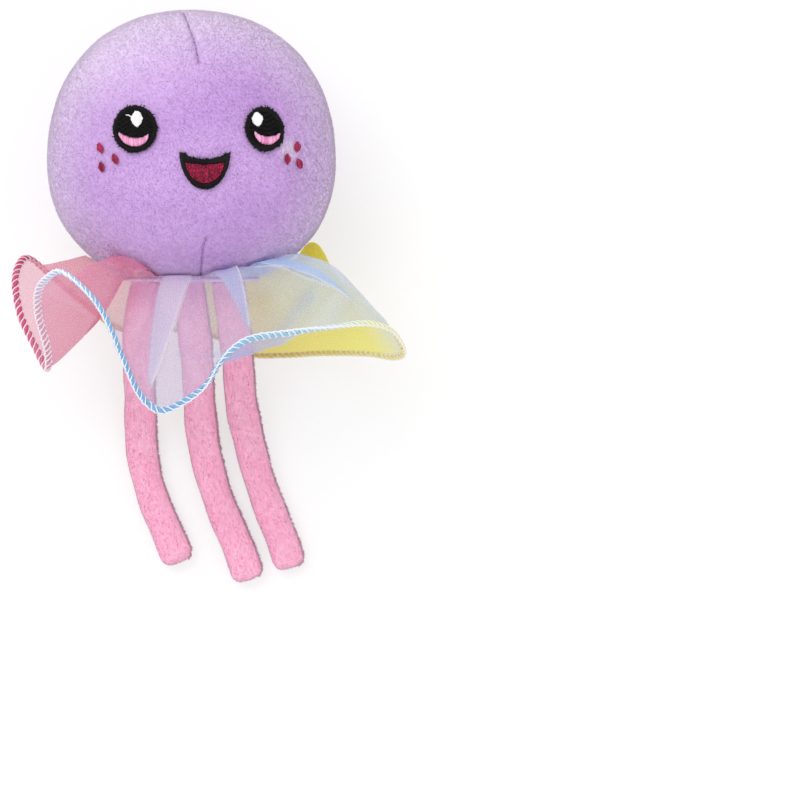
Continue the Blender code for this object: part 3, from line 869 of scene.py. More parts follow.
def head_cover_surface(front):
    """Half of the head's cover as an open surface, sunk at its seams."""
    power = 2 / HEAD_ROUNDNESS
    start = -math.asin((SIDE_SEAM_BEHIND / HEAD_SIZE[2]) ** (1 / power))
    rows = 132
    columns = 360
    ease = np.linspace(0, 1, rows) ** 1.15
    climb = start + (math.pi / 2 - start) * ease if front else start - (math.pi / 2 + start) * ease
    turn = np.linspace(0, 2 * math.pi, columns, endpoint=False)
    climb, turn = np.meshgrid(climb, turn, indexing="ij")
    up = np.where(np.sin(turn) > 0, HEAD_SIZE[1], HEAD_BASE)
    points = np.stack([
        HEAD_SIZE[0] * bent(np.cos(climb), power) * bent(np.cos(turn), power),
        up * bent(np.cos(climb), power) * bent(np.sin(turn), power),
        HEAD_SIZE[2] * bent(np.sin(climb), power),
    ], axis=-1).reshape(-1, 3)
    normals = head_normal(points)
    dip = SEAM_DEPTH * np.exp(-((points[:, 2] + SIDE_SEAM_BEHIND) / SEAM_WIDTH) ** 2)
    if front:
        dip = np.maximum(dip, 0.8 * SEAM_DEPTH * dart_dip(points, TOP_DART))
        dip = np.maximum(dip, 0.5 * SEAM_DEPTH * dart_dip(points, BOTTOM_DART))
    lumps = np.array([noise.noise(Vector(point) * LUMP_SCALE) for point in points])
    lumps = lumps * LUMP_HEIGHT_MM * MM
    points = points - normals * (dip + np.abs(lumps) + PILE_ROOM)[:, None]
    points[:, 2] = np.maximum(points[:, 2], -REST_DEPTH + PILE_ROOM / 2)
    seam = dip / SEAM_DEPTH
    if not front:
        points = points.reshape(rows, columns, 3)[:, ::-1].reshape(-1, 3)
        seam = seam.reshape(rows, columns)[:, ::-1].ravel()
    mesh = mesh_of("head_cover", points, grid_faces(rows, columns, True), seam=seam)
    return merged(mesh, SAME_PLACE, open_at_neck)


def open_at_neck(bm):
    """Cut the cover off where the base disc closes the head."""
    neck = Vector(HEAD_MIDDLE) - Vector((0, base_drop(), 0))
    bmesh.ops.bisect_plane(
        bm, geom=bm.verts[:] + bm.edges[:] + bm.faces[:], plane_co=neck,
        plane_no=Vector((0, -1, 0)), dist=1e-7, clear_outer=True,
    )


def with_wall(name, mesh, material, thickness, side):
    """A copy of an open surface as a closed wall."""
    obj = as_object(name, mesh.copy(), material)
    wall = obj.modifiers.new("wall", "SOLIDIFY")
    wall.thickness = thickness
    wall.offset = side
    return worked_in(obj)


def inside_ellipse(x, y, shape, margin):
    middle_x, middle_y, width, height, lean = shape
    turn = math.radians(lean)
    across = (x - middle_x) * math.cos(turn) + (y - middle_y) * math.sin(turn)
    up = (y - middle_y) * math.cos(turn) - (x - middle_x) * math.sin(turn)
    return (across / (width / 2 + margin)) ** 2 + (up / (height / 2 + margin)) ** 2 < 1


def clear_of_stitches(points):
    """True where pile may stand: off the embroidery on the face."""
    x, y = points[:, 0] / MM, points[:, 1] / MM
    covered = np.zeros(len(points), bool)
    for shape in [*EYE_PATCHES.values(), *FRECKLES.values()]:
        covered |= inside_ellipse(x, y, shape, -0.15)
    middle_x, corner_y, half_width, dip, depth = MOUTH_OUTSIDE
    across = np.clip(np.abs(x - middle_x) / half_width, 0, 1)
    low = corner_y - depth * np.sqrt(1 - across ** 2)
    high = corner_y - dip * (1 - across ** 2)
    covered |= (np.abs(x - middle_x) < half_width) & (y > low) & (y < high)
    stitched = (dart_dip(points, TOP_DART) > 0.8) | (dart_dip(points, BOTTOM_DART) > 0.9)
    return ~(covered & (points[:, 2] > 0)) & ~stitched & off_side_seam(points)


def off_side_seam(points):
    return np.abs(points[:, 2] + SIDE_SEAM_BEHIND) > 0.25 * SEAM_WIDTH


def make_head(cloth, tree):
    for name, front, seed in (("front", True, 3), ("back", False, 4)):
        surface = head_cover_surface(front)
        wall = with_wall(f"head_{name}_cover", surface, cloth, COVER_THICKNESS, -1)
        cover = piece(
            f"head_{name}_cover", wall, cloth, [f"head_{name}_panel"],
        )
        pile = pile_of(
            f"head_{name}_pile", surface, HEAD_PILE, np.array([0.0, -0.8, 0.0]), seed, cloth,
            tree, clear_of_stitches if front else off_floor,
        )
        piece(f"head_{name}_pile", pile, cloth)


def make_dart_threads(thread, tree):
    """The short stitches that show along the darts at the crown and the base."""
    draws = np.random.default_rng(31)
    runs = []
    for dart, deep in ((TOP_DART, -1.05), (BOTTOM_DART, -0.85)):
        line = np.array(dart)
        steps = travelled(np.hypot(*np.diff(line, axis=0).T))
        for start in np.arange(0.3, steps[-1] - 0.8, DART_STITCH_PITCH_MM):
            end = start + DART_STITCH_LENGTH_MM
            at = np.linspace(start, end, 5) + draws.uniform(-0.1, 0.1)
            slant = np.linspace(-0.16, 0.16, 5) * draws.uniform(0.4, 1.4)
            x = np.interp(at, steps, line[:, 0]) + slant
            runs.append(arched(x, np.interp(at, steps, line[:, 1]), deep * MM, 0.35 * MM))
    mesh = grown(thread_runs(runs, draws), tree, thread, Radius=0.14 * MM, Sides=5)
    piece("head_dart_threads", mesh, thread)


def off_floor(points):
    """True where a tuft would not be crushed between the toy and the floor."""
    return points[:, 2] > -REST_DEPTH + 0.8 * MM


def make_base_disc(cloth, tree):
    """The round of plush that closes the head inside the skirt's ring."""
    rows = 12
    columns = 96
    middle = -base_drop() - CLEARANCE
    radius = np.sin(np.linspace(0, 1, rows) * math.pi / 2)
    turn = np.linspace(0, 2 * math.pi, columns, endpoint=False)
    radius, turn = np.meshgrid(radius, turn, indexing="ij")
    points = np.stack([
        radius * np.cos(turn) * (NECK_HALF_WIDTH - BASE_DISC_INSET),
        middle - BASE_DISC_THICKNESS * (0.3 + 0.7 * np.sqrt(1 - radius ** 2)),
        radius * np.sin(turn) * (neck_half_depth() - BASE_DISC_INSET),
    ], axis=-1).reshape(-1, 3)
    surface = merged(mesh_of("base_disc", points, grid_faces(rows, columns, True)), SAME_PLACE)
    wall = with_wall("base_disc_cover", surface, cloth, 0.8 * MM, -1)
    piece("base_disc_cover", wall, cloth, ["head_base_disc"])
    nap = np.array([0.0, 0.0, -0.4])
    pile = pile_of("base_disc_pile", surface, HEAD_PILE, nap, 8, cloth, tree)
    piece("base_disc_pile", pile, cloth)


# Smooth routes

def smooth_route(points, closed, steps=24):
    """A Catmull-Rom curve through the points, as closely spaced samples."""
    points = np.asarray(points, float)
    count = len(points)
    if closed:
        padded_points = np.concatenate([points[-1:], points, points[:2]])
        spans = count
    else:
        before, after = points[0] * 2 - points[1], points[-1] * 2 - points[-2]
        padded_points = np.concatenate([[before], points, [after]])
        spans = count - 1
    t = (np.arange(steps) / steps)[:, None]
    samples = []
    for index in range(spans):
        p0, p1, p2, p3 = padded_points[index:index + 4]
        samples.append(
            p1 + (p2 - p0) * t / 2 + (p0 * 2 - p1 * 5 + p2 * 4 - p3) * t * t / 2
            + (p1 * 3 - p0 - p2 * 3 + p3) * t ** 3 / 2
        )
    samples.append(points[:1] if closed else points[-1:])
    return np.concatenate(samples)


def at_shares(samples, shares):
    """Points at shares of a route's length."""
    lengths = travelled(np.linalg.norm(np.diff(samples, axis=0), axis=1))
    return np.stack(
        [np.interp(shares * lengths[-1], lengths, samples[:, k]) for k in range(3)], axis=-1,
    )


def route_length(samples):
    return np.linalg.norm(np.diff(samples, axis=0), axis=1).sum()


# Skirt

def skirt_line():
    return -base_drop() - CLEARANCE - SKIRT_THICKNESS / 2


def drop_points(points, top):
    """Turn sideways, down and out in millimetres into the head's own frame."""
    return np.array([(x * MM, top - drop * MM, out * MM) for x, drop, out in points])


HEM_ROUTE = smooth_route(drop_points(HEM_POINTS, skirt_line()), True)
HEM_LENGTH = route_length(HEM_ROUTE)


def hem_at(share):
    return at_shares(HEM_ROUTE, np.mod(share, 1.0))


def lift_at(share, column):
    """A smooth closed curve through one column of the table of lifts."""
    places = np.array([row[0] for row in SKIRT_LIFTS] + [1.0])
    values = np.array([row[column] for row in SKIRT_LIFTS] + [SKIRT_LIFTS[0][column]])
    share = np.mod(share, 1.0)
    index = np.clip(np.searchsorted(places, share, side="right") - 1, 0, len(places) - 2)
    t = smoothstep((share - places[index]) / (places[index + 1] - places[index]))
    return (values[index] + (values[index + 1] - values[index]) * t) * MM


def bowed(down, lifts):
    """A smooth profile from 0 at the neck through three lifts to 0 at the hem."""
    knots = np.array([0.0, *LIFT_PLACES, 1.0])
    values = np.stack([np.zeros_like(down), *lifts, np.zeros_like(down)])
    slopes = np.zeros_like(values)
    for k in (1, 2, 3):
        slopes[k] = (values[k + 1] - values[k - 1]) / (knots[k + 1] - knots[k - 1])
    slopes[0] = 1.4 * values[1] / knots[1]
    slopes[4] = -1.2 * values[3] / (1 - knots[3])
    result = np.zeros_like(down)
    for k in range(4):
        step = knots[k + 1] - knots[k]
        t = np.clip((down - knots[k]) / step, 0, 1)
        curve = (
            (1 + 2 * t) * (1 - t) ** 2 * values[k] + t * (1 - t) ** 2 * step * slopes[k]
            + t * t * (3 - 2 * t) * values[k + 1] + t * t * (t - 1) * step * slopes[k + 1]
        )
        result = np.where((down >= knots[k]) & (down <= knots[k + 1]), curve, result)
    return result


def skirt_ground(share, down):
    """The skirt without its pleats: down is 0 at the neck and 1 at the hem."""
    hem = hem_at(share)
    angle = np.arctan2(hem[..., 2], -hem[..., 0])
    neck = np.stack([
        -(NECK_HALF_WIDTH - SKIRT_INSET) * np.cos(angle),
        np.full(angle.shape, skirt_line() + NECK_TUCK),
        (neck_half_depth() - SKIRT_INSET) * np.sin(angle),
    ], axis=-1)
    point = neck + (hem - neck) * down[..., None]
    middle, spread, height, place, reach = BACK_FOLD
    away = away_from(share, middle)
    fold = height * MM * np.exp(-(away / spread) ** 2 - ((down - place) / reach) ** 2)
    lifts = [lift_at(share, column) for column in (1, 2, 3)]
    point[..., 1] += bowed(down, lifts) + fold * smoothstep((1 - down) / 0.2)
    return point


def keep_off_head(points, gap):
    """Lay the cloth against the underside of the head where it would pass inside."""
    share = (np.abs(points[:, 0]) / HEAD_SIZE[0]) ** HEAD_ROUNDNESS
    share += (np.abs(points[:, 2]) / HEAD_SIZE[2]) ** HEAD_ROUNDNESS
    underside = -HEAD_BASE * np.clip(1 - share, 0, 1) ** (1 / HEAD_ROUNDNESS)
    points[:, 1] = np.where(share < 1, np.minimum(points[:, 1], underside - gap), points[:, 1])
    return points


def overshoot_table():
    """How far a fold reaches past its middle for each strength of its pull."""
    strength = np.linspace(1, 8, 60)
    d = np.linspace(0, 2, 400)
    reach = (strength[:, None] * d * np.exp(-d * d) - d).max(axis=1)
    return strength, reach


def knife_pleats(share, down):
    """Where each point of the cloth goes when it is pleated, how high, and its lap."""
    strengths, reaches = overshoot_table()
    moved = share.copy()
    height = np.zeros_like(share)
    lap = np.zeros_like(share)
    edge = np.zeros_like(share)
    for top, point, reach, half, side in KNIFE_PLEATS:
        left = np.clip(1 - down / reach, 0, 1)
        middle = top + (point - top) * np.clip(down / reach, 0, 1)
        d = side * away_from(share, middle) / PLEAT_WIDTH
        zone = half * left
        pull = PLEAT_WIDTH * np.interp(zone / PLEAT_WIDTH, reaches, strengths)
        shift = pull * np.clip(left * 12, 0, 1) * d * np.exp(-d * d)
        moved -= side * shift
        lifted = plateau(d, -0.7, 1.4, 2.2, 2.0)
        height += 2 * PLEAT_LAYER * lifted * np.clip(left * 4, 0, 1) * smoothstep(down / 0.03)
        off = PLEAT_WIDTH * d - shift
        inside = 1 - smoothstep((np.abs(off) - zone) / 0.0016 + 0.5)
        lap = np.maximum(lap, inside * np.clip(left * 10, 0, 1))
        # The top crease's line, which the organza lightens as a painted highlight
        crease = np.exp(-((off + zone) / 0.0014) ** 2) * np.clip(left * 10, 0, 1)
        edge = np.maximum(edge, crease)
    return moved, height, lap, edge


def crease_height(share, down):
    """Soft ridges and hollows along short lines across the cloth."""
    height = np.zeros_like(share)
    for start, start_down, end, end_down, width, rise in CREASES:
        along = np.array([end - start, (end_down - start_down) * 0.15])
        offset = np.stack([share - start, (down - start_down) * 0.15], axis=-1)
        t = np.clip(offset @ along / (along @ along), 0, 1)
        away = np.linalg.norm(offset - t[..., None] * along, axis=-1)
        height += rise * MM * np.exp(-(away / width) ** 2)
    return height


def columns_along_pleats(rows_down):
    """Places round the hem for each row, so that the grid's columns follow the pleats."""
    tops = np.array([pleat[0] for pleat in KNIFE_PLEATS])
    points = np.array([pleat[1] for pleat in KNIFE_PLEATS])
    reaches = np.array([pleat[2] for pleat in KNIFE_PLEATS])
    middles = tops + (points - tops) * np.clip(rows_down[:, None] / reaches, 0, 1)
    knots = np.concatenate([middles, middles[:, :1] + 1], axis=1)
    columns = []
    for k in range(len(tops)):
        count = int(np.ceil((knots[:, k + 1] - knots[:, k]).max() / GRID_STEP))
        t = np.arange(count) / count
        columns.append(knots[:, k:k + 1] + (knots[:, k + 1:k + 2] - knots[:, k:k + 1]) * t)
    places = np.concatenate(columns, axis=1)
    return np.concatenate([places, places[:, :1] + 1], axis=1)


def make_skirt(cloth):
    rows = 72
    down = np.linspace(0, 1, rows)[::-1]
    share = columns_along_pleats(down)
    down = np.broadcast_to(down[:, None], share.shape)
    columns = share.shape[1]
    moved, height, lap, edge = knife_pleats(share, down)
    height = height + crease_height(share, down) * smoothstep((1 - down) / 0.1)
    ground = skirt_ground(moved, down)
    beside = skirt_ground(moved + 1e-3, down) - skirt_ground(moved - 1e-3, down)
    below = skirt_ground(moved, down + 0.01) - skirt_ground(moved, down - 0.01)
    normal = unit(np.cross(below, beside))
    beat = 2 * math.pi * share
    gathers = np.cos(FINE_GATHERS * beat + 2.2 * np.sin(5 * beat) + 1.4 * np.sin(13 * beat))
    gathers *= FINE_GATHER_HEIGHT * (1 - down) ** 2.2 * smoothstep(down / 0.05)
    ripples = np.sin(9 * beat + 4 * down) * np.sin(23 * beat - 3 * down + 1) * 0.45 * MM
    ripples *= plateau(down, 0.0, 0.3, 0.75, 0.25)
    points = ground + normal * (height + gathers + ripples)[..., None]
    gap = (0.15 + 1.05 * smoothstep(down.ravel() / 0.10)) * MM
    points = keep_off_head(points.reshape(-1, 3), gap)
    mesh = mesh_of(
        "skirt_cloth", points, grid_faces(rows, columns, False),
        fold=lap.ravel(), edge=edge.ravel(), rise=crease_height(share, down).ravel() / MM,
    )
    layer = mesh.uv_layers.new(name="cloth")
    order = read_values(mesh.loops, "vertex_index", kind=np.int32)
    flat = np.stack([share.ravel()[order] - share[0, 0], down.ravel()[order]], axis=1)
    layer.data.foreach_set("uv", flat.astype(np.float32).ravel())
    merged(mesh, 1e-7)
    return piece("skirt_cloth", mesh, cloth, ["skirt"])


def make_hem(thread, tree):
    """The overlocked edge: coloured bars between fine white threads, with white loops beside."""
    turns = round(HEM_LENGTH / (4.6 * MM))
    samples = turns * 12
    share = np.arange(samples) / samples
    middle = hem_at(share)
    ahead = unit(hem_at(share + 1e-3) - hem_at(share - 1e-3))
    outwards = middle - skirt_ground(share, np.full(samples, 0.9))
    outwards = unit(outwards - ahead * (outwards * ahead).sum(axis=1, keepdims=True))
    square = np.cross(ahead, outwards)
    draws = np.random.default_rng(5)
    jitter = np.interp(share, np.linspace(0, 1, 301), np.append(draws.normal(0, 0.035, 300), 0))
    # Each strand's place in the turn, its distance from the middle, radius and whiteness
    strands = (
        (0.00, 0.66, 0.58, 0.0), (0.25, 1.00, 0.25, 1.0),
        (0.50, 0.66, 0.58, 0.0), (0.75, 1.00, 0.25, 1.0),
    )
    frilly = plateau(share, 0.09, 0.03, 0.23, 0.04) + plateau(share, 0.45, 0.05, 0.66, 0.05)
    slim = 1 - 0.25 * plateau(share, 0.60, 0.06, 0.84, 0.06)
    points, edges, shares, pale, thick = [], [], [], [], []

    def lay(route, radius, whiteness):
        first = sum(len(p) for p in points)
        points.append(route)
        edges.extend((first + k, first + (k + 1) % samples) for k in range(samples))
        shares.append(share)
        pale.append(np.full(samples, whiteness))
        uneven = np.interp(share, np.linspace(0, 1, 401), draws.uniform(0.88, 1.12, 401))
        uneven[-1] = uneven[0]
        thick.append(radius * uneven * slim * (1 + (0.38 * whiteness - 0.10) * frilly))

    for start, reach, radius, whiteness in strands:
        angle = 2 * math.pi * (turns * share + start + jitter)
        ring = outwards * np.cos(angle)[:, None] + square * (0.6 * np.sin(angle))[:, None]
        lay(middle + ring * (reach * slim * MM)[:, None], radius, whiteness)
    beat = 2 * math.pi * (2 * turns * share + jitter)
    for side in (1, -1):
        scallop = slim * (1.08 + 0.14 * np.cos(beat))
        wave = 0.18 * np.sin(beat)
        offset = outwards * (side * scallop)[:, None] + square * wave[:, None]
        lay(middle + offset * MM, 0.22, 1.0)
    guides = mesh_of(
        "hem_guides", np.concatenate(points), edges=edges, share=np.concatenate(shares),
        strand=np.concatenate(pale), thick=np.concatenate(thick),
    )
    mesh = grown(guides, tree, thread, Radius=1.0 * MM, Sides=6)
    return piece("skirt_hem_cord", mesh, thread, ["skirt_hem_stitching"])


# Tentacles

def tentacle_surface(points_list):
    """A flat soft tube: squarish in section, with a rounded square tip."""
    top = -base_drop() - BASE_DISC_THICKNESS - 2 * CLEARANCE
    samples = smooth_route(drop_points(points_list, top), False)
    length = route_length(samples)
    rows = 240
    columns = 64
    share = np.linspace(0, 1, rows)
    middle = at_shares(samples, share)
    before, after = (at_shares(samples, np.clip(share + step, 0, 1)) for step in (-0.01, 0.01))
    ahead = unit(after - before)
    out = unit(np.cross(ahead, np.array([1.0, 0.0, 0.0])))
    side = np.cross(out, ahead)
    left = (1 - share) * length
    wide, thick = (
        np.clip(1 - np.clip(1 - left / tip, 0, 1) ** power, 0, 1) ** (1 / power)
        for tip, power in TENTACLE_TIPS
    )
    thick = thick * (0.55 + 0.45 * smoothstep(share * length / (9 * MM)))
    turn = np.linspace(0, 2 * math.pi, columns, endpoint=False)
    across, up = bent(np.cos(turn), 0.8), bent(np.sin(turn), 0.8)
    seam = 1 - 0.07 * np.exp(-((np.abs(across) - 1) / 0.05) ** 2)
    wobble = 1 + 0.025 * np.sin(share * 17 + points_list[0][0]) + 0.02 * np.sin(share * 41)
    half_width = TENTACLE_WIDTH / 2 - PILE_ROOM
    half_depth = TENTACLE_THICKNESS / 2 - PILE_ROOM
    wide, thick = (wide * wobble)[:, None, None], thick[:, None, None]
    points = (
        middle[:, None, :] + side[:, None, :] * wide * (across * seam)[None, :, None] * half_width
        + out[:, None, :] * thick * up[None, :, None] * half_depth
    )
    points = points.reshape(-1, 3)
    points[:, 2] = np.maximum(points[:, 2], -REST_DEPTH + 0.15 * MM)
    round_share = np.broadcast_to((turn / (2 * math.pi) + 0.25) % 1.0, (rows, columns)).ravel()
    along = np.repeat(share * length, columns)
    fringe = np.exp(-((round_share - 0.25) / 0.022) ** 2)
    mesh = mesh_of(
        "tentacle", points, grid_faces(rows, columns, True), round=round_share, along=along,
        fringe=fringe,
    )
    return merged(mesh, SAME_PLACE, close_root)


def close_root(bm):
    """Fill the tube's open end and turn all its faces outwards."""
    bmesh.ops.holes_fill(bm, edges=[edge for edge in bm.edges if edge.is_boundary])
    bmesh.ops.recalc_face_normals(bm, faces=bm.faces[:])


def make_tentacles(cloth, tree):
    for seed, (name, points) in enumerate(TENTACLE_ROUTES.items(), start=11):
        surface = tentacle_surface(points)
        pile = pile_of(
            f"{name}_pile", surface, TENTACLE_PILE, np.array([0.2, -1.0, -0.1]), seed, cloth, tree,
            off_floor,
        )
        cover = piece(f"{name}_cover", surface, cloth, [name])
        piece(f"{name}_pile", pile, cloth)


# Embroidery

def ellipse_place(shape, across, up):
    """Places in an ellipse: across and up run from -1 to 1 over the square round it."""
    middle_x, middle_y, width, height, lean = shape
    turn = math.radians(lean)
    x, y = width / 2 * across, height / 2 * up
    return (
        middle_x + x * math.cos(turn) - y * math.sin(turn),
        middle_y + x * math.sin(turn) + y * math.cos(turn),
    )


def lens_edges(shape, across):
    """The lower and upper edges of a lens at places across it, from -1 to 1."""
    middle_x, corner_y, half_width, dip, depth = shape
    bow = np.sqrt(np.clip(1 - across ** 2, 0, 1))
    return middle_x + half_width * across, corner_y - depth * bow, corner_y - dip * bow ** 2


def lens_ring(shape, turn):
    middle_x, corner_y, half_width, dip, depth = shape
    bow = np.sin(turn)
    drop = np.where(bow > 0, dip * bow ** 2, -depth * bow)
    return middle_x + half_width * np.cos(turn), corner_y - drop


def thread_runs(runs, draws):
    """Guides for threads: each run is a row of points, with one tone for the run."""
    points = np.concatenate(runs)
    edges = []
    tones = []
    thick = []
    first = 0
    for run in runs:
        edges.extend((first + k, first + k + 1) for k in range(len(run) - 1))
        tones.append(np.full(len(run), draws.random()))
        place = np.arange(len(run))
        taper = np.clip(np.minimum(place, place[::-1]) / 1.5 + 0.35, 0, 1)
        thick.append(taper * draws.uniform(0.85, 1.15))
        first += len(run)
    return mesh_of(
        "thread_guides", points, edges=edges,
        tone=np.concatenate(tones), thick=np.concatenate(thick),
    )


def arched(x, y, base, crown):
    """A run over the face that starts low, arches by its crown and ends low."""
    t = np.linspace(0, 1, len(x))
    return on_face(x, y, base + crown * np.sqrt(np.clip(4 * t * (1 - t), 0, 1)))


def in_stitches(x, y, base, crown, length, start):
    """A long row of thread as short stitches that each dip at their ends."""
    lengths = travelled(np.hypot(np.diff(x), np.diff(y)))
    cuts = np.concatenate([[0], np.arange(start * length, lengths[-1], length), [lengths[-1]]])
    runs = []
    for low, high in zip(cuts, cuts[1:]):
        if high - low > 0.3:
            at = np.linspace(low, high, 6)
            places = np.interp(at, lengths, x), np.interp(at, lengths, y)
            runs.append(arched(*places, base, crown))
    return runs


def ellipse_fill(
    shape, base, crown, spacing, draws, upright=True, power=2.0, ragged=0.03, stitch=30.0,
):
    """Parallel threads that fill an ellipse from edge to edge. A low power points its ends."""
    runs = []
    span = (shape[2] if upright else shape[3]) / 2
    for offset in np.arange(-span + spacing / 2, span, spacing):
        chord = max(1 - abs(offset / span) ** power, 0) ** (1 / power)
        if chord < 0.12:
            continue
        ends = chord * (1 + draws.uniform(-ragged, ragged, 2))
        along = np.linspace(-ends[0], ends[1], 12)
        still = np.full(12, offset / span)
        x, y = ellipse_place(shape, still, along) if upright else ellipse_place(shape, along, still)
        runs += in_stitches(x, y, base, crown, stitch, draws.uniform(0.2, 1.0))
    return runs


def ellipse_border(shape, band, base, crown, spacing, draws):
    """Short threads across a band round an ellipse's edge."""
    around = math.pi * (shape[2] + shape[3]) / 2
    count = int(around / spacing)
    runs = []
    for k in range(count):
        turn = 2 * math.pi * k / count
        slant = 0.35 * band / shape[2]
        reach = 1 + draws.uniform(-0.04, 0.06) + 0.06 * (draws.random() > 0.7)
        inner = 1 - 2 * band / min(shape[2], shape[3])
        radii = np.linspace(reach, inner, 6)
        turns = turn + np.linspace(0, slant, 6)
        x, y = ellipse_place(shape, radii * np.cos(turns), radii * np.sin(turns))
        runs.append(arched(x, y, base, crown))
    return runs


def lens_fill(shape, base, crown, spacing, draws, lean=0.0, ragged=0.12, stitch=30.0):
    """Upright threads from a lens's lower edge to its upper edge."""
    half_width = shape[2]
    slope = math.tan(math.radians(lean))
    runs = []
    for offset in np.arange(-half_width + spacing / 2, half_width, spacing):
        x, low, high = lens_edges(shape, np.array([offset / half_width]))
        if high[0] - low[0] < 0.25:
            continue
        ends = draws.uniform(0, ragged, 2)
        y = np.linspace(low[0] - ends[0], high[0] + ends[1], 10) + slope * offset
        runs += in_stitches(np.full(10, x[0]), y, base, crown, stitch, draws.uniform(0.2, 1.0))
    return runs


def ring_fill(outside, inside, base, crown, spacing, draws):
    """Threads across the band between two lens shapes."""
    turns = np.linspace(0, 2 * math.pi, 2000, endpoint=False)
    x, y = lens_ring(outside, turns)
    steps = np.hypot(np.diff(x, append=x[0]), np.diff(y, append=y[0]))
    lengths = travelled(steps)
    count = int(lengths[-1] / spacing)
    runs = []
    for k in range(count):
        turn = turns[np.searchsorted(lengths, lengths[-1] * k / count) % len(turns)]
        outer = np.array(lens_ring(outside, np.array([turn]))).ravel()
        inner = np.array(lens_ring(inside, np.array([turn + 0.06]))).ravel()
        outer = outer + (outer - inner) * draws.uniform(-0.06, 0.16)
        t = np.linspace(0, 1, 7)
        runs.append(arched(
            outer[0] + (inner[0] - outer[0]) * t, outer[1] + (inner[1] - outer[1]) * t, base, crown,
        ))
    return runs


def tufted_lip(shape, base, draws):
    """Short thread ends that stand up past the upper edge of a lens."""
    middle_x, corner_y, half_width, dip = shape[:4]
    runs = []
    for offset in np.arange(-half_width + 0.7, half_width - 0.6, 0.4):
        top = corner_y - dip * (1 - (offset / half_width) ** 2)
        y = np.linspace(top - 0.8, top + draws.uniform(0.1, 0.65), 6)
        x = middle_x + offset + np.linspace(0, draws.uniform(-0.35, 0.35), 6)
        runs.append(arched(x, y, base, 0.35 * MM))
    return runs


def make_embroidery(threads, tree):
    draws = np.random.default_rng(21)
    spacing = 0.34
    base = 0.35 * MM
    upper = 0.95 * MM

    def stitched(name, runs, colour, slot, node, radius=THREAD_RADIUS):
        mesh = grown(thread_runs(runs, draws), tree, threads[colour], Radius=radius, Sides=5)
        piece(name, mesh, threads[colour], [node])

    for side, shape in EYE_PATCHES.items():
        under = ellipse_fill(shape, base, 0.15 * MM, spacing * 0.75, draws, False)
        over = ellipse_fill(shape, base + 0.2 * MM, 0.3 * MM, spacing, draws, stitch=1.5)
        border = ellipse_border(shape, 1.5, base + 0.25 * MM, 0.45 * MM, spacing, draws)
        rows = under + over + border
        stitched(f"eye_{side}_threads", rows, "black", "black_thread", f"eye_{side}_patch")
        shine = EYE_HIGHLIGHTS[side]
        rows = ellipse_fill(shine, upper - 0.1 * MM, 0.2 * MM, spacing * 0.7, draws, False, 1.8)
        rows += ellipse_fill(shine, upper, 0.35 * MM, spacing, draws, True, 1.8, 0.16)
        if side == "left":
            rows.append(arched(*LOOSE_THREAD, upper - 0.12 * MM, 0.2 * MM))
        stitched(
            f"eye_{side}_shine_threads", rows, "white", "white_thread", f"eye_{side}_highlight",
        )
        lean = CRESCENT_LEANS[side]
        crescent = EYE_CRESCENTS[side]
        rows = lens_fill(crescent, upper - 0.1 * MM, 0.15 * MM, spacing * 0.6, draws, lean)
        rows += lens_fill(crescent, upper, 0.4 * MM, spacing * 0.8, draws, lean, 0.35)
        stitched(
            f"eye_{side}_crescent_threads", rows, "rose", "rose_thread", f"eye_{side}_crescent",
        )
    rows = ring_fill(MOUTH_OUTSIDE, MOUTH_INSIDE, base, 0.5 * MM, spacing * 0.75, draws)
    rows += ring_fill(MOUTH_OUTSIDE, MOUTH_INSIDE, base + 0.15 * MM, 0.55 * MM, spacing, draws)
    rows += tufted_lip(MOUTH_OUTSIDE, base + 0.2 * MM, draws)
    for side in (-1, 1):
        corner = (MOUTH_OUTSIDE[0] + side * MOUTH_CORNER[0], *MOUTH_CORNER[1:])
        rows += ellipse_fill(corner, base + 0.1 * MM, 0.5 * MM, spacing, draws, True, 3.0, 0.25)
    stitched("mouth_outline_threads", rows, "black", "black_thread", "mouth_outline")
    rows = lens_fill(MOUTH_INSIDE, base - 0.1 * MM, 0.1 * MM, spacing * 0.6, draws)
    rows += lens_fill(MOUTH_INSIDE, base, 0.3 * MM, spacing, draws, stitch=1.3)
    stitched("mouth_filling_threads", rows, "cherry", "magenta_thread", "mouth_filling")
    for name, shape in FRECKLES.items():
        rows = ellipse_fill(shape, base - 0.1 * MM, 0.1 * MM, spacing * 0.6, draws, False, 1.7)
        rows += ellipse_fill(
            shape, base + 0.05 * MM, 0.3 * MM, spacing * 0.9, draws, True, 1.7, 0.2,
        )
        stitched(f"{name}_threads", rows, "magenta", "magenta_thread", name)


# Stage

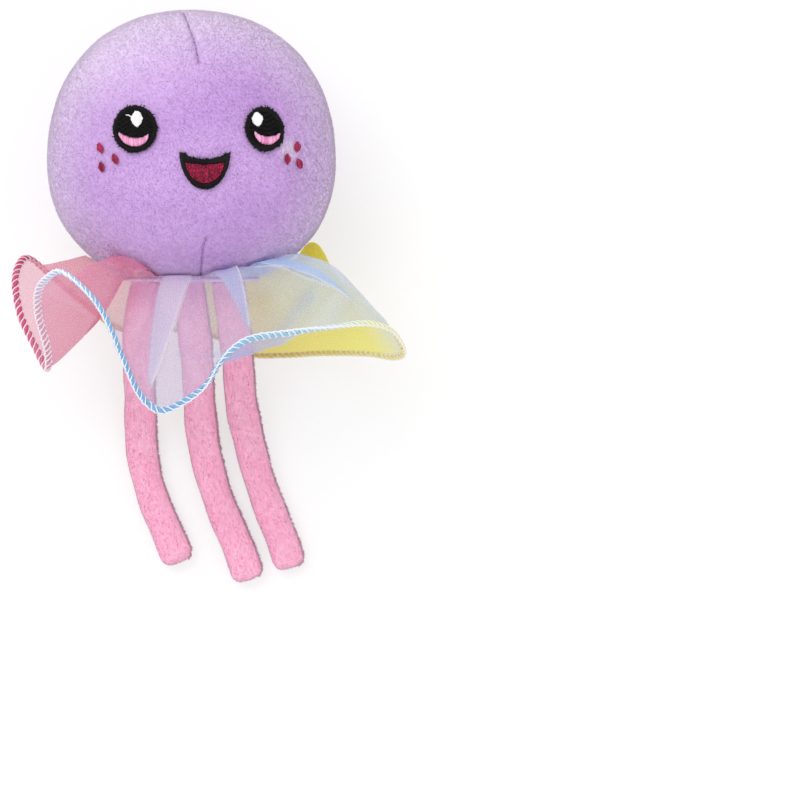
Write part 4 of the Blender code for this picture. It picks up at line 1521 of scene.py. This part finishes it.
def set_stage():
    material, nodes, shader = new_material("pale_floor", {
        "Roughness": 0.9, "Specular IOR Level": 0.1, "Base Color": tint(232, 232, 234),
    })
    ray = nodes.add("ShaderNodeLightPath")
    seen = ray.at("Is Camera Ray").larger(ray.at("Is Transmission Ray"))
    seen = seen.larger(ray.at("Is Glossy Ray"))
    white = nodes.add("ShaderNodeEmission", {}, {"Color": (1, 1, 1, 1), "Strength": 1.0})
    pale = nodes.mix(seen, tint(232, 232, 234), tint(254, 254, 254))
    feed(nodes, shader, Base_Color=pale)
    show(nodes, nodes.blend(seen * 0.6, Wire(nodes, shader.outputs["BSDF"]), white))
    mesh = bpy.data.meshes.new("floor")
    bm = bmesh.new()
    bmesh.ops.create_grid(bm, x_segments=1, y_segments=1, size=4.0)
    bm.to_mesh(mesh)
    bm.free()
    floor = as_object("floor", mesh, material)
    floor.location.z = -0.2 * MM
    world = bpy.data.worlds.new("studio")
    world.use_nodes = True
    world.node_tree.nodes["Background"].inputs["Color"].default_value = (1, 1, 1, 1)
    world.node_tree.nodes["Background"].inputs["Strength"].default_value = 0.81
    bpy.context.scene.world = world
    for name, place, size, power in (
        ("key_softbox", (-0.52, 0.72, 1.18), 0.9, 8.2),
        ("fill_softbox", (0.35, -0.95, 0.90), 0.9, 2.6),
    ):
        lamp = bpy.data.lights.new(name, "AREA")
        lamp.size = size
        lamp.energy = power
        box = bpy.data.objects.new(name, lamp)
        box.location = place
        box.rotation_euler = Vector(place).to_track_quat("Z", "Y").to_euler()
        bpy.context.scene.collection.objects.link(box)
    bpy.context.scene.view_settings.view_transform = "Standard"


def set_camera():
    """Above the toy, aimed where the middle of the picture falls."""
    seat = Vector((0, -41 * MM, 1.5))
    aim = Vector((68.6 * MM, -78.5 * MM, 0))
    picture_width = 264 * MM
    ahead = (aim - seat).normalized()
    right = ahead.cross(Vector((0, 1, 0))).normalized()
    up = right.cross(ahead)
    lens = bpy.data.cameras.new("camera")
    lens.sensor_width = 36
    lens.lens = 36 * (aim - seat).length / picture_width
    lens.clip_end = 20
    camera = bpy.data.objects.new("camera", lens)
    turn = Matrix((right, up, -ahead)).transposed()
    camera.matrix_world = Matrix.Translation(seat + Vector(HEAD_MIDDLE)) @ turn.to_4x4()
    bpy.context.scene.collection.objects.link(camera)
    bpy.context.scene.camera = camera


def main():
    set_camera()
    set_stage()
    right_cheek = tuple(on_face(31.5, 3.0, 0.0) + HEAD_MIDDLE)
    lavender = plush_cloth(
        "lavender_pile", [(235, 201, 248), (189, 145, 214), (243, 228, 250), (140, 100, 160)],
        1.0, [(right_cheek, 5.5 * MM)], (-0.35, 0.92, 0.0),
    )
    pink = plush_cloth(
        "pink_pile", [(255, 208, 228), (255, 168, 204), (255, 226, 240), (206, 82, 138)],
        0.6, streaks=True,
    )
    threads = {
        "black": thread_cloth("black_satin_thread", (14, 12, 14), (2, 2, 2), 0.45, 0.22),
        "white": thread_cloth("white_satin_thread", (255, 255, 255), (248, 248, 250)),
        "rose": thread_cloth("rose_satin_thread", (248, 188, 224), (226, 132, 186)),
        "magenta": thread_cloth("magenta_satin_thread", (194, 44, 96), (104, 10, 46)),
        "seam": thread_cloth("seam_thread", (172, 132, 190), (140, 102, 160), 0.6, 0.2),
        "cherry": thread_cloth("cherry_satin_thread", (184, 26, 76), (92, 6, 36)),
    }
    tufts = tuft_tree()
    runs = thread_tree()
    make_head(lavender, tufts)
    make_dart_threads(threads["seam"], runs)
    make_base_disc(lavender, tufts)
    make_tentacles(pink, tufts)
    hem = make_hem(hem_thread(), runs)
    skirt = make_skirt(organza())
    make_embroidery(threads, runs)
    filling = bpy.data.objects["head_stuffing"]
    filling.data.materials.clear()
    filling.data.materials.append(loose_fibre())


main()
